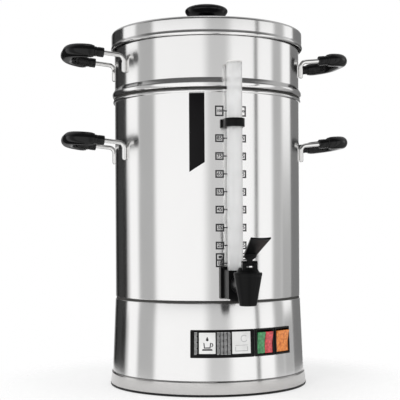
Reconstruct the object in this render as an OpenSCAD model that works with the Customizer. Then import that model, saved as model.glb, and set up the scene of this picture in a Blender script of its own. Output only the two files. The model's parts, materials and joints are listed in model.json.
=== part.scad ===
// Coffee urn: polished tank on a conical base, lift-off filter section and lid,
// four loop handles, a sight gauge over a lever tap, and rocker switches.
// Sizes are in millimetres. Z is the axis of the vessel, the floor is z = 0 and
// the tap faces -Y. Azimuths are in degrees from the tap, positive towards +X.

/* [Vessel] */
// Outside radius of the tank and of the filter section
vessel_r = 130; // [120:1:140]
// Thickness of the steel sheet
sheet = 1; // [0.8:0.1:1.4]
// Height of the tank wall above the base gasket
tank_h = 274.4; // [250:0.2:310]
// Thickness of the tank bottom
bottom_t = 1.5; // [1:0.1:2.5]
// Radius of the rolled rim of the tank
rim_r = 2.4; // [2:0.1:3.2]
// Radius of the sump under the pump bell
sump_r = 30; // [26:1:36]
// Depth of the sump
sump_depth = 10; // [6:1:14]

/* [Base] */
// Height of the black edge trim that stands on the floor
trim_h = 3; // [2:0.5:5]
// Width of the edge trim
trim_w = 8; // [6:0.5:10]
// Height of the foot ring
foot_h = 16.5; // [13:0.5:20]
// How far the foot ring stands out past the vessel wall
foot_out = 7.5; // [7:0.25:10]
// Height of the base skirt
skirt_h = 100.6; // [98:0.2:120]
// How far the skirt widens from its top to its bottom
skirt_flare = 4.2; // [3:0.1:5]
// How far the top of the skirt stands out past the tank wall
skirt_step = 0.4; // [0:0.1:0.8]
// Height of the dark gasket between the skirt and the tank
gasket_h = 3; // [2:0.5:4]
// How far the gasket lies back from the tank wall
gasket_back = 0.8; // [0.4:0.1:1.5]
// Width of the flange and of the gasket under the tank
flange_w = 12; // [9:0.5:14]
// Thickness of the bottom plate and of the ledge that it hangs from
plate_t = 1.2; // [1:0.1:1.6]
// Number of screws that hold the bottom plate
screw_n = 6; // [4:1:8]
// Radius of the bottom plate's screws
screw_r = 2; // [1.5:0.25:2.5]
// Radius of the tie stud under the sump
stud_r = 4; // [3:0.5:5]

/* [Heating] */
// Outside radius of the aluminium heat plate
heat_plate_r = 105; // [95:1:110]
// Thickness of the heat plate
heat_plate_t = 3; // [2:0.5:4]
// Radius of the circle of the heating element
element_ring_r = 75; // [66:1:85]
// Radius of the heating element's tube
element_r = 4; // [3.25:0.25:4.5]
// Gap between the two ends of the heating element, in degrees
element_gap = 40; // [34:1:60]
// Length of each cold end of the heating element
element_end = 22; // [16:1:26]
// Radius of the thermostat and of the safety cut-out
sensor_r = 9; // [8:0.5:9.5]
// Height of the thermostat and of the safety cut-out
sensor_h = 8; // [6:0.5:10]

/* [Filter section] */
// Height of the filter section above the tank rim
filter_h = 91; // [80:1:110]
// Height of the bead around its lower edge
bead_h = 11.5; // [10:0.5:13]
// How far that bead stands out past the wall
bead_out = 3.35; // [2.5:0.05:4]
// How far the spigot reaches down into the tank
spigot_h = 14; // [10:0.5:18]
// Clearance between the spigot and the tank wall
spigot_gap = 1.2; // [0.8:0.1:1.6]
// Thickness of the seal that rests on the tank rim
seal_h = 1.2; // [1:0.1:2]
// Radius of the holes in the filter plate
drip_r = 2; // [1.5:0.25:2.5]
// Number of rings of holes in the filter plate
drip_rings = 5; // [3:1:6]
// Outside radius of the riser tube
riser_r = 8; // [7:0.5:10]
// Height of the riser above the filter plate
riser_rise = 60; // [50:1:66]
// Radius of the spray head on the riser
spray_r = 45; // [36:1:55]
// Height of the pump bell
bell_h = 34; // [28:1:40]

/* [Lid] */
// How far the lid wall stands out past the vessel wall
lid_out = 4.4; // [4:0.1:5.5]
// How far the lid reaches down over the filter section
lid_drop = 23.4; // [18:0.2:28]
// Radius of the bead around the lid's lower edge
lid_bead_r = 2.75; // [2:0.25:3.25]
// Radius of the lid's rounded top edge
lid_edge_r = 4; // [3:0.25:5]
// Rise of the lid's dome
lid_dome = 6.6; // [4:0.2:12]
// Largest radius of the knob
knob_r = 30.3; // [26:0.1:34]
// Height of the knob
knob_h = 34.2; // [32:0.2:46]
// Height of the knob's domed top above its widest ring
knob_crown = 8.4; // [7:0.2:13]
// Radius of the knob's foot
knob_foot_r = 15; // [12:0.5:20]

/* [Handles] */
// Radius of the handle wire
wire_r = 3; // [2.5:0.25:3.5]
// Distance between the two legs of a handle
leg_gap = 85; // [76:1:95]
// Length of the ends that are welded to the wall
leg_drop = 24; // [18:1:30]
// Radius of the bend at the wall
bend_r = 8; // [6:0.5:10]
// Upward tilt of the handles, in degrees
handle_tilt = 6; // [0:0.5:10]
// How far a handle stands out past the vessel wall
handle_reach = 75; // [68:1:85]
// Radius of the handle's two outer corners
corner_r = 30; // [24:1:36]
// Radius of the grip
grip_r = 9; // [7:0.25:10]
// Radius of the slim collar at each end of the grip
collar_r = 6.5; // [5:0.25:7]
// Length of that collar
collar_l = 13.5; // [8:0.5:16]
// Depth of the tank handles below the tank rim
tank_handle_down = 63.5; // [55:0.5:80]
// Height of the filter handles above the filter section's lower edge
filter_handle_up = 53; // [46:0.5:58]

/* [Sight gauge] */
// Distance of the gauge tube's axis from the tank wall
tube_off = 16; // [15:0.5:20]
// Outside radius of the gauge tube
tube_r = 10; // [8:0.25:10.5]
// Radius of the gauge tube's bore
tube_bore_r = 6.5; // [5:0.25:7]
// Length of the gauge tube
tube_l = 272; // [260:1:300]
// Width of the block that holds the tube
block_w = 28; // [27:0.5:34]
// Depth of that block in front of its flange
block_d = 28; // [27:0.5:32]
// Depth of the tube's socket in the block
socket_h = 7; // [6:0.5:15]
// Wall of the rubber seal round the tube
tube_seal_t = 1.4; // [1:0.1:1.6]
// Thickness of the block's flange
block_flange_t = 4; // [3:0.5:5]
// How far the flange stands out past the block's sides
block_flange_out = 3; // [2:0.5:4]
// How far the flange stands up past the block's top
block_flange_up = 4; // [0:0.5:8]
// Thickness of the gasket at the wall
wall_gasket_t = 3; // [2.5:0.25:4]
// Radius of the shank that passes through the wall
shank_r = 9; // [8:0.5:10]
// Length of the shank inside the tank wall
shank_in = 17; // [15:0.5:20]
// Radius of the flow passage
flow_r = 5; // [4:0.25:5.5]
// Height of the clip on the tube
clip_h = 11; // [8:0.5:14]
// Wall of the clip round the tube
clip_t = 3; // [2:0.25:4]
// Width of the clip's foot on the tank wall
clip_foot_w = 30; // [28:0.5:36]
// Depth of the clip's middle below the tank rim
clip_down = 45.5; // [40:0.5:60]

/* [Tap] */
// Height of the tap's flow passage above the tank bottom
tap_up = 23.5; // [23:0.5:28]
// Distance of the spout from the tank wall
spout_off = 73; // [70:0.5:80]
// Radius of the spout at its top
spout_top_r = 17.5; // [16.5:0.25:19]
// Radius of the spout at its mouth
spout_end_r = 10.75; // [10:0.25:14]
// Height of the spout above the flow passage
spout_up = 16; // [15.5:0.5:20]
// Depth of the spout below the flow passage
spout_down = 25; // [20:0.5:28]
// Radius of the spout's outlet
outlet_r = 7; // [6:0.25:7.5]
// Radius of the valve chamber
chamber_r = 9; // [8.5:0.25:10]
// Depth of the valve seat below the flow passage
seat_down = 6; // [5:0.25:7]
// Radius of the neck between the block and the spout
neck_r = 11; // [9:0.5:12]
// Radius of the stem
stem_r = 1.75; // [1.5:0.25:2]
// Height of the bonnet
bonnet_h = 6; // [5:0.5:8]
// Radius of the bonnet at its top
bonnet_r = 11; // [10.5:0.25:13]
// Distance of the lever pin in front of the stem
pin_off = 6.5; // [6.5:0.25:8]
// Radius of the lever pin
pin_r = 1.25; // [1:0.05:1.5]
// Length of the lever's paddle
paddle_l = 48; // [40:1:56]
// Width of the paddle at its tip
paddle_tip_w = 25; // [20:0.5:30]
// Width of the paddle at its root
paddle_root_w = 16; // [12:0.5:18]
// Thickness of the paddle
paddle_t = 4; // [3:0.25:5]
// Angle of the paddle above the horizontal, in degrees
paddle_angle = 24; // [20:1:45]
// Turns of the tap's spring
spring_turns = 5; // [4:1:5]

/* [Switches and plates] */
// Height of the panel's middle above the foot of the skirt
panel_up = 48.5; // [44:0.5:56]
// Height of the panel and of the switches' bezels
panel_h = 36; // [35:0.25:38]
// Thickness of the panel's plate and of the name plate
label_t = 0.8; // [0.5:0.1:1.2]
// Azimuth of the panel plate's left end
panel_from = -24; // [-30:0.5:-15]
// Azimuth of the double switch
double_az = 19.75; // [18:0.05:24]
// Gap between the panel plate and the double switch
panel_gap = 1.05; // [0.5:0.05:3]
// Gap between the two switches
switch_gap = 1.3; // [1:0.05:6]
// Width of a switch bezel
bezel_w = 30; // [29.8:0.1:31]
// How far a bezel stands out past the skirt
bezel_out = 2.2; // [2:0.1:3]
// Length of a rocker
rocker_l = 28; // [26:0.25:28.5]
// Width of the two narrow rockers
narrow_w = 12; // [10:0.1:12.2]
// Width of the wide rocker
wide_w = 24.6; // [20:0.1:24.8]
// Tilt of a rocker to either side, in degrees
rocker_tilt = 7; // [5:0.5:8]
// Width of the name plate
name_w = 20; // [16:0.5:26]
// Height of the name plate
name_h = 102; // [80:1:120]
// Rise of the name plate's slanted lower end from left to right
name_slant = 12.5; // [0:0.5:16]
// Azimuth of the name plate
name_az = -19.8; // [-26:0.2:-19]
// Depth of the name plate's top below the tank rim
name_down = 5.3; // [5.2:0.1:20]

/* [Power inlet] */
// Height of the inlet above the foot of the skirt
inlet_up = 40.5; // [36:0.5:60]
// Width of the inlet's socket
socket_w = 23; // [21:0.5:26]
// Height of the inlet's socket
socket_t = 17; // [16:0.5:20]
// Depth of the inlet's socket
socket_d = 16; // [14:0.5:18]
// Wall of the inlet's housing
inlet_wall = 2; // [1.5:0.25:3]

/* [Hidden] */
$fn = 96;
wall_fn = 480;

// Clearances: between fixed curved faces, running fits, resting seats and windows
face_gap = 0.05;
run_gap = 0.05;
seat_gap = 0.3;
window_gap = 0.2;
rest_gap = 0.1;
past = 1;

// Heights of the stack, from the floor up
foot_z = trim_h;
skirt_z = foot_z + foot_h;
gasket_z = skirt_z + skirt_h;
tank_z = gasket_z + gasket_h;
rim_z = tank_z + tank_h;
filter_z = rim_z + seat_gap + seal_h;
filter_top = filter_z + filter_h;
lid_seat_z = filter_top + seat_gap;
lid_top_z = lid_seat_z + sheet + lid_dome;

// Radii and heights of the base
foot_r = vessel_r + foot_out;
skirt_top_r = vessel_r + skirt_step;
skirt_lean = atan(skirt_flare / skirt_h);
flange_r = vessel_r - flange_w;
foot_slope = 1.5;
foot_edge = 2.2;
ledge_w = 10;
ledge_in = vessel_r - ledge_w;
ledge_z = skirt_z - plate_t;
plate_z = ledge_z - plate_t;
plate_out = 2;
plate_r = vessel_r + plate_out;
screw_ring_in = 4;
screw_ring_r = vessel_r - screw_ring_in;
screw_head_h = 2;
vent_n = 12;
vent_r = 4;
vent_ring_in = 35;
vent_ring_r = vessel_r - vent_ring_in;
sump_floor = tank_z - sump_depth;

// Heights and radii of the filter section
spigot_z = filter_z - spigot_h;
spigot_r = vessel_r - sheet - spigot_gap;
filter_plate_z = spigot_z + sheet;
filter_plate_t = 1;
filter_ledge_w = 12;
rim_roll_r = 1.6;
collar_h = 8;
collar_out = 4;
riser_wall = 1.5;
riser_lift = 6;
riser_z = sump_floor + bottom_t + riser_lift;
riser_top = filter_plate_z + riser_rise;

// Sizes of the lid and knob
lid_r = vessel_r + lid_out;
lid_edge_in = lid_r - lid_edge_r;
lid_z = lid_seat_z - lid_drop;
washer_t = 1.5;
knob_z = lid_top_z + washer_t;
knob_screw_r = 3;
knob_screw_l = 26;

// Swell of the wire at its bends, and how far a straight stretch ends inside it
swell = 0.1;
swell_in = 0.3;

// Heights of the handles
tank_handle_z = rim_z - tank_handle_down;
filter_handle_z = filter_z + filter_handle_up;

// Places of the handle wire: legs at the wall, first point of the run, start of the corners
leg_x = sqrt(pow(vessel_r + wire_r + face_gap, 2) - pow(leg_gap / 2, 2));
run_x = leg_x + bend_r * (1 - sin(handle_tilt));
run_rise = bend_r * (1 - cos(handle_tilt));
corner_x = (vessel_r + handle_reach - run_x) / cos(handle_tilt) - corner_r - grip_r;

// Places of the gauge and tap
tube_y = vessel_r + tube_off;
tap_z = tank_z + tap_up;
spout_y = vessel_r + spout_off;
flange_face_y = vessel_r + wall_gasket_t;
block_y = flange_face_y + block_flange_t;
block_front_y = block_y + block_d;
block_below = 19;
socket_floor = 2;
tap_spigot_r = 8;
block_z = tap_z - block_below;
socket_z = tap_z + tap_spigot_r + socket_floor;
block_top = socket_z + socket_h;
block_h = block_top - block_z;
flange_h = block_h + block_flange_up;
tube_z = socket_z + rest_gap;
tube_top = tube_z + tube_l;
spigot_in = 13;
spout_top = tap_z + spout_up;
spout_end = tap_z - spout_down;
seat_z = tap_z - seat_down;
cup_h = 4;
cup_z = seat_z + rest_gap;
stem_flange_z = cup_z + cup_h;
stem_flange_t = 2;
boss_drop = 5;
bonnet_top = spout_top + bonnet_h;
pin_up = 5;
pin_z = bonnet_top + pin_up;
pin_y = spout_y + pin_off;
hub_r = 3;
ear_r = 3.4;
toe_r = 2;
fork_gap = 0.35;
tine_w = 2.1;
ear_gap = 0.3;
ear_w = 5;
head_gap = 0.2;
fork_in = stem_r + fork_gap;
fork_out = fork_in + tine_w;
ear_in = fork_out + ear_gap;
ear_out = ear_in + ear_w;
head_z = pin_z + toe_r + head_gap;
head_h = 1.8;
head_r = 3.5;
stalk_out = 5;
stalk_up = 12;
lever_root_y = pin_y + stalk_out;
lever_root_z = pin_z + stalk_up;

// Nut and washer on the shank, inside the tank
shank_tail = 4;
nut_t = 8;
nut_y = vessel_r - shank_in + shank_tail;
nut_out = 7;
washer_out = 6;

// Spring of the tap
spring_wire_r = 0.6;
spring_r = 4;
spring_from = stem_flange_z + stem_flange_t + spring_wire_r + rest_gap;
spring_to = spout_top - boss_drop - spring_wire_r - rest_gap;
spring_steps = 8;
spring_sides = 6;
spring_path = [
  for (i = [0 : spring_turns * spring_steps])
    let (a = 360 * i / spring_steps, t = i / (spring_turns * spring_steps))
    [spring_r * cos(a), spring_r * sin(a), spring_from + (spring_to - spring_from) * t]
];

// Places of the panel, switches and inlet
panel_z = skirt_z + panel_up;
panel_r = skirt_r(panel_z);
panel_to = double_az - asin((bezel_w / 2 + panel_gap) / panel_r);
single_az = double_az + 2 * asin((bezel_w + switch_gap) / 2 / panel_r);
bezel_side = 2.3;
rocker_end_gap = 1.6;
tub_in = 0.7;
tub_end_in = 1;
window_w = bezel_w - 2 * bezel_side;
window_l = rocker_l + 2 * rocker_end_gap;
tub_w = bezel_w - 2 * tub_in;
tub_h = panel_h - 2 * tub_end_in;
tub_floor = 2;
rocker_gap = 0.6;
rocker_x = (narrow_w + rocker_gap) / 2;
tub_d = 10.5;
rear_w = 20;
rear_d = 24;
pivot_in = 3;
pivot_r = 1.25;
tab_w = 6.3;
tab_t = 0.8;
tab_l = 8;
inlet_z = skirt_z + inlet_up;
inlet_r = skirt_r(inlet_z);
inlet_w = socket_w + 2 * inlet_wall;
inlet_t = socket_t + 2 * inlet_wall;
inlet_floor = 4;
inlet_d = socket_d + inlet_floor;
inlet_lip = 5;
inlet_out = 2.5;
lip_in = 2;

// Places of the wiring
block_half_l = 27;
block_half_w = 11;
terminal_in = 55;
terminal_y = vessel_r - terminal_in;
terminal_h = 20;
terminal_step = 16;
terminal_hole_r = 3;
terminal_z = skirt_z - plate_t + terminal_h / 2;
lead_r = 1.6;
lead_sides = 8;
pin_step = 7;
tab_step = 5;

// Height of the heating element's circle, and distance of the two sensors from the stud
element_z = tank_z - heat_plate_t - element_r - face_gap;
sensor_gap = 3;
sensor_x = stud_r + sensor_r + sensor_gap;

// Places where the leads end: at an inlet pin, at the element and at a tab of each switch
lead_gap = 0.3;
lead_straight = 9;
inlet_tab_y = inlet_r - inlet_d - tab_l - lead_gap;
cold_end = element_ring_r * [sin(element_gap / 2), cos(element_gap / 2)];
cold_end_z = element_z - element_end - lead_gap;
switch_tab_r = panel_r - (rear_d + tab_l) * cos(skirt_lean) - lead_gap;
switch_tab_z = panel_z - (rear_d + tab_l) * sin(skirt_lean);

// Way of each lead through the base
hole_in = terminal_y - 4;
hole_out = terminal_y + 4;
inlet_lead = [
  [-pin_step, inlet_tab_y, inlet_z], [-pin_step, inlet_tab_y - lead_straight, inlet_z],
  [-15, terminal_y + 22, 42], [-terminal_step, terminal_y + 20, 30],
  [-terminal_step, terminal_y + 14, terminal_z], [-terminal_step, hole_out, terminal_z]
];
double_lead = [
  [-terminal_step, hole_in, terminal_z], [-terminal_step - 1, terminal_y - 20, terminal_z],
  [-32, 20, 25], [-30, -35, 25], [2, -66, 36],
  switch_point(double_az, -tab_step, -tab_step, lead_straight),
  switch_point(double_az, -tab_step, -tab_step, 0)
];
single_lead = [
  [terminal_step, hole_in, terminal_z], [terminal_step + 1, terminal_y - 20, terminal_z],
  [42, 20, 25], [54, -30, 27], [50, -58, 42],
  switch_point(single_az, 0, -tab_step, lead_straight),
  switch_point(single_az, 0, -tab_step, 0)
];
element_lead = [
  [terminal_step, hole_out, terminal_z], [terminal_step, terminal_y + 14, terminal_z],
  [17, terminal_y + 20, 30], [24, terminal_y + 18, 48], [26, terminal_y + 3, 68],
  [cold_end[0], cold_end[1], cold_end_z - lead_straight], [cold_end[0], cold_end[1], cold_end_z]
];

// Point behind a switch's tab, at a distance from its end
function switch_point(a, x, z, away) = [
  (switch_tab_r - away) * sin(a) + x * cos(a),
  x * sin(a) - (switch_tab_r - away) * cos(a),
  switch_tab_z + z
];

// Outside radius of the skirt at a height
function skirt_r(z) = skirt_top_r + skirt_flare * (gasket_z - z) / skirt_h;

// Points of an arc about a centre, from one angle to another
function arc(c, r, a0, a1, n) =
  [for (i = [0 : n]) c + r * [cos(a0 + (a1 - a0) * i / n), sin(a0 + (a1 - a0) * i / n)]];

// Flats of the lid's dome from its middle to its edge
dome_steps = 8;

// Height of the lid's dome at a radius, above its edge
function dome(r) = lid_dome * (1 - pow(r / lid_edge_in, 2));

// Frame of a ring that is square to a direction
function side(d) = let (s = cross(d, [0.31, 0.17, 0.93])) s / norm(s);
function unit(v) = v / norm(v);

// Direction of a path at one of its points
function heading(p, i) =
  unit(p[min(i + 1, len(p) - 1)] - p[max(i - 1, 0)]);

// Points of a round tube that follows a path
function tube_points(p, r, n) = [
  for (i = [0 : len(p) - 1])
    let (d = heading(p, i), u = side(d), v = cross(d, u))
    for (k = [0 : n - 1]) p[i] + r * (cos(360 * k / n) * u + sin(360 * k / n) * v)
];

// Triangles of that tube: its wall and its two ends
function tube_faces(m, n) = concat(
  [for (i = [0 : m - 2]) for (k = [0 : n - 1])
    [i * n + k, i * n + (k + 1) % n, (i + 1) * n + k]],
  [for (i = [0 : m - 2]) for (k = [0 : n - 1])
    [i * n + (k + 1) % n, (i + 1) * n + (k + 1) % n, (i + 1) * n + k]],
  [for (k = [1 : n - 2]) [0, k + 1, k]],
  [for (k = [1 : n - 2]) [(m - 1) * n, (m - 1) * n + k, (m - 1) * n + k + 1]]
);

// A path with its corners rounded by a curve through its points
function curve(p, steps) = concat(
  [for (i = [0 : len(p) - 2]) for (s = [0 : steps - 1])
    let (
      a = p[max(i - 1, 0)],
      b = p[i],
      c = p[i + 1],
      e = p[min(i + 2, len(p) - 1)],
      t = s / steps
    )
    0.5 * (2 * b + (c - a) * t + (2 * a - 5 * b + 4 * c - e) * t * t
      + (3 * b - a - 3 * c + e) * t * t * t)],
  [p[len(p) - 1]]
);

// A round tube along a path
module tube_along(p, r, n) {
  polyhedron(points = tube_points(p, r, n), faces = tube_faces(len(p), n), convexity = 6);
}

// Turns its children to an azimuth
module at_azimuth(a) {
  rotate([0, 0, a]) children();
}

// Places its children on the skirt, square to its surface, with -Y outwards
module on_skirt(a, z) {
  at_azimuth(a)
    translate([0, -skirt_r(z), z])
      rotate([-skirt_lean, 0, 0])
        children();
}

// Cylinder that lies along -Y from one distance to another
module along_y(r, y0, y1, z, n = $fn) {
  translate([0, -y0, z])
    rotate([90, 0, 0])
      cylinder(r = r, h = y1 - y0, $fn = n);
}

// Everything inside the skirt's outer surface, with a clearance
module skirt_core(gap) {
  translate([0, 0, skirt_z])
    cylinder(r1 = skirt_r(skirt_z) + gap, r2 = skirt_top_r + gap, h = skirt_h, $fn = wall_fn);
}

// Black trim round the lower edge, which stands on the floor
module foot_edge_trim() {
  lip = 0.3;
  color("dimgray")
    rotate_extrude()
      polygon([
        [foot_r + lip - trim_w, 0],
        [foot_r - lip, 0],
        [foot_r + lip, 2 * lip],
        [foot_r + lip, trim_h],
        [foot_r + lip - trim_w, trim_h]
      ]);
}

// Steel foot ring with the ledge that carries the skirt and the bottom plate
module foot_ring() {
  shoulder = 3;
  shoulder_z = skirt_z - shoulder;
  color("lightgray")
    difference() {
      rotate_extrude()
        polygon([
          [foot_r, foot_z],
          [foot_r - foot_slope, shoulder_z],
          [foot_r - foot_edge, skirt_z],
          [ledge_in, skirt_z],
          [ledge_in, ledge_z],
          [foot_r - foot_edge - sheet, ledge_z],
          [foot_r - foot_slope - sheet, shoulder_z - sheet],
          [foot_r - sheet, foot_z]
        ]);
      screw_circle() cylinder(r = screw_r + run_gap, h = foot_h + skirt_z);
    }
}

// Repeats its children at the bottom plate's screws
module screw_circle() {
  for (i = [0 : screw_n - 1])
    rotate([0, 0, 360 * (i + 0.5) / screw_n])
      translate([screw_ring_r, 0, 0])
        children();
}

// Conical skirt with its top flange and the windows for the switches and the inlet
module base_skirt() {
  color("silver")
    difference() {
      rotate_extrude()
        polygon([
          [skirt_r(skirt_z), skirt_z],
          [skirt_top_r, gasket_z],
          [flange_r, gasket_z],
          [flange_r, gasket_z - sheet],
          [skirt_r(gasket_z - sheet) - sheet, gasket_z - sheet],
          [skirt_r(skirt_z) - sheet, skirt_z]
        ]);
      for (a = [double_az, single_az])
        on_skirt(a, panel_z)
          skirt_window(tub_w, tub_h);
      on_skirt(180, inlet_z)
        skirt_window(inlet_w, inlet_t);
    }
}

// Window in the skirt, a little larger than what passes through it
module skirt_window(w, h) {
  depth = 12;
  cube([w + 2 * window_gap, depth, h + 2 * window_gap], center = true);
}

// Vented plate that closes the base from below
module bottom_plate() {
  color("gray")
    difference() {
      translate([0, 0, plate_z]) cylinder(r = plate_r, h = plate_t);
      cylinder(r = stud_r + run_gap, h = skirt_z);
      screw_circle() cylinder(r = screw_r + run_gap, h = skirt_z);
      for (i = [0 : vent_n - 1])
        rotate([0, 0, 360 * i / vent_n])
          translate([vent_ring_r, 0, 0])
            cylinder(r = vent_r, h = skirt_z);
    }
}

// Screws that hold the bottom plate to the ledge
module bottom_screws() {
  screw_tail = 3;
  color("silver")
    screw_circle()
      translate([0, 0, plate_z - screw_head_h]) {
        cylinder(r = 2 * screw_r, h = screw_head_h);
        cylinder(r = screw_r, h = screw_head_h + 2 * plate_t + screw_tail);
      }
}

// Dark gasket in the groove between the skirt and the tank
module base_gasket() {
  color("black")
    rotate_extrude()
      translate([flange_r, gasket_z])
        square([flange_w - gasket_back, gasket_h]);
}

// Stud under the sump that draws the base together
module tie_stud() {
  stud_tail = 7;
  color("silver")
    translate([0, 0, plate_z - stud_tail])
      cylinder(r = stud_r, h = sump_floor - plate_z + stud_tail);
}

// Nut on the stud, under the bottom plate
module tie_nut() {
  nut_h = 5;
  nut_r = 1.9 * stud_r;
  color("goldenrod")
    translate([0, 0, plate_z - nut_h])
      difference() {
        cylinder(r = nut_r, h = nut_h, $fn = 6);
        translate([0, 0, -past]) cylinder(r = stud_r + run_gap, h = nut_h + 2 * past);
      }
}

// Aluminium plate that spreads the heat under the tank
module heat_plate() {
  sump_gap = 3;
  inner_r = sump_r + bottom_t + sump_gap;
  color("gainsboro")
    rotate_extrude()
      translate([inner_r, tank_z - heat_plate_t])
        square([heat_plate_r - inner_r, heat_plate_t]);
}

// Tubular element under the heat plate, with its two cold ends at the back
module heating_element() {
  cold_r = 0.8 * element_r;
  color("dimgray") {
    translate([0, 0, element_z])
      rotate([0, 0, 90 + element_gap / 2])
        rotate_extrude(angle = 360 - element_gap)
          translate([element_ring_r, 0])
            circle(r = element_r);
    for (s = [-1, 1])
      rotate([0, 0, s * element_gap / 2])
        translate([0, element_ring_r, element_z - element_end])
          cylinder(r = cold_r, h = element_end);
  }
}

// Sensor under the sump: its can, its neck and two tabs
module sensor(x) {
  neck_h = 5;
  neck_r_can = 0.7 * sensor_r;
  tab_x = 4;
  translate([x, 0, sump_floor - sensor_h]) {
    cylinder(r = sensor_r, h = sensor_h);
    translate([0, 0, -neck_h]) cylinder(r = neck_r_can, h = neck_h);
    for (s = [-1, 1])
      translate([s * tab_x - tab_t / 2, -tab_w / 2, -neck_h - tab_l])
        cube([tab_t, tab_w, tab_l]);
  }
}

module thermostat() {
  color("ivory") sensor(sensor_x);
}

module safety_cutout() {
  color("tan") sensor(-sensor_x);
}

// Ceramic block that joins the leads, on the bottom plate
module terminal_block() {
  clamp_r = 2;
  color("white")
    difference() {
      translate([-block_half_l, terminal_y - block_half_w, ledge_z])
        cube([2 * block_half_l, 2 * block_half_w, terminal_h]);
      for (i = [-1 : 1])
        translate([i * terminal_step, 0, 0]) {
          along_y(terminal_hole_r, -terminal_y - block_half_w - past,
            -terminal_y + block_half_w + past, terminal_z);
          translate([0, terminal_y, terminal_z]) cylinder(r = clamp_r, h = terminal_h);
        }
    }
}

// Leads from the inlet to the block, and from the block to the switches and the element
module lead_harness() {
  steps = 4;
  color("firebrick")
    for (p = [inlet_lead, double_lead, single_lead, element_lead])
      tube_along(curve(p, steps), lead_r, lead_sides);
}

// Three flat pins of the power inlet, in the frame of its face
module inlet_pin_set(gap) {
  pin_w = 4;
  pin_t = 2;
  pin_rise = 3;
  centre_drop = 2;
  pin_back = 2;
  for (i = [-1 : 1])
    translate([
      i * pin_step - pin_w / 2 - gap,
      pin_back - gap,
      pin_rise - pin_t / 2 - gap - (i == 0 ? 0 : centre_drop)
    ])
      cube([pin_w + 2 * gap, inlet_d + tab_l - pin_back + gap, pin_t + 2 * gap]);
}

// Appliance inlet at the back of the skirt, with its open socket
module power_inlet() {
  color("black")
    on_skirt(180, inlet_z)
      difference() {
        union() {
          difference() {
            translate([-inlet_w / 2 - inlet_lip, -inlet_out, -inlet_t / 2 - inlet_lip])
              cube([inlet_w + 2 * inlet_lip, inlet_out + lip_in, inlet_t + 2 * inlet_lip]);
            inlet_wall_core();
          }
          translate([-inlet_w / 2, -inlet_out, -inlet_t / 2])
            cube([inlet_w, inlet_out + inlet_d, inlet_t]);
        }
        translate([-socket_w / 2, -inlet_out - past, -socket_t / 2])
          cube([socket_w, inlet_out + past + socket_d, socket_t]);
        inlet_pin_set(face_gap);
      }
}

// The skirt as the inlet's lip sees it, in the frame of the inlet's face
module inlet_wall_core() {
  rotate([skirt_lean, 0, 0])
    translate([0, inlet_r, -inlet_z])
      skirt_core(face_gap);
}

module inlet_pins() {
  color("silver") on_skirt(180, inlet_z) inlet_pin_set(0);
}

// Black plate of the control panel, curved with the skirt
module panel_plate() {
  z0 = panel_z - panel_h / 2;
  z1 = panel_z + panel_h / 2;
  color("black")
    rotate([0, 0, panel_from - 90])
      rotate_extrude(angle = panel_to - panel_from)
        polygon([
          [skirt_r(z0) + face_gap, z0],
          [skirt_r(z0) + face_gap + label_t, z0],
          [skirt_r(z1) + face_gap + label_t, z1],
          [skirt_r(z1) + face_gap, z1]
        ]);
}

// Plain upright plate on the tank wall, with a slanted lower end
module name_plate() {
  span = 2 * asin(name_w / 2 / vessel_r);
  low = rim_z - name_down - name_h;
  over = 2;
  side = name_w / 2 + over;
  slope = name_slant / name_w;
  color("black")
    difference() {
      rotate([0, 0, name_az - span / 2 - 90])
        rotate_extrude(angle = span)
          translate([vessel_r + face_gap, low - over])
            square([label_t, name_h + over]);
      at_azimuth(name_az)
        translate([0, 2 * over - vessel_r, low])
          rotate([90, 0, 0])
            linear_extrude(height = 4 * over)
              polygon([
                [-side, -slope * over], [side, slope * (name_w + over)],
                [side, -2 * over], [-side, -2 * over]
              ]);
    }
}

// Housing of a switch: bezel, tub behind the skirt and a narrow rear block
module switch_housing(a) {
  color("black")
    on_skirt(a, panel_z)
      difference() {
        union() {
          difference() {
            translate([-bezel_w / 2, -bezel_out, -panel_h / 2])
              cube([bezel_w, bezel_out + lip_in, panel_h]);
            rotate([skirt_lean, 0, 0])
              translate([0, panel_r, -panel_z])
                skirt_core(face_gap);
          }
          translate([-tub_w / 2, -bezel_out, -tub_h / 2])
            cube([tub_w, bezel_out + tub_d, tub_h]);
          translate([-rear_w / 2, 0, -rear_w / 2])
            cube([rear_w, rear_d, rear_w]);
        }
        translate([-window_w / 2, -bezel_out - past, -window_l / 2])
          cube([window_w, bezel_out + past + tub_d - tub_floor, window_l]);
        rocker_pin(run_gap);
      }
}

// Pivot pin of a switch, in the frame of its face
module rocker_pin(gap) {
  end_wall = 0.4;
  pin_l = tub_w - 2 * end_wall;
  translate([-pin_l / 2 - gap, pivot_in, 0])
    rotate([0, 90, 0])
      cylinder(r = pivot_r + gap, h = pin_l + 2 * gap);
}

module double_switch_housing() {
  switch_housing(double_az);
}

module single_switch_housing() {
  switch_housing(single_az);
}

// Tabs behind the two switches
module switch_terminals() {
  color("goldenrod") {
    for (x = [-tab_step, tab_step])
      for (z = [-tab_step, tab_step])
        on_skirt(double_az, panel_z) switch_tab(x, z);
    for (z = [-tab_step, tab_step])
      on_skirt(single_az, panel_z) switch_tab(0, z);
  }
}

module switch_tab(x, z) {
  translate([x - tab_w / 2, rear_d, z - tab_t / 2])
    cube([tab_w, tab_l, tab_t]);
}

module rocker_pins() {
  color("silver")
    for (a = [double_az, single_az])
      on_skirt(a, panel_z) rocker_pin(0);
}

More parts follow.
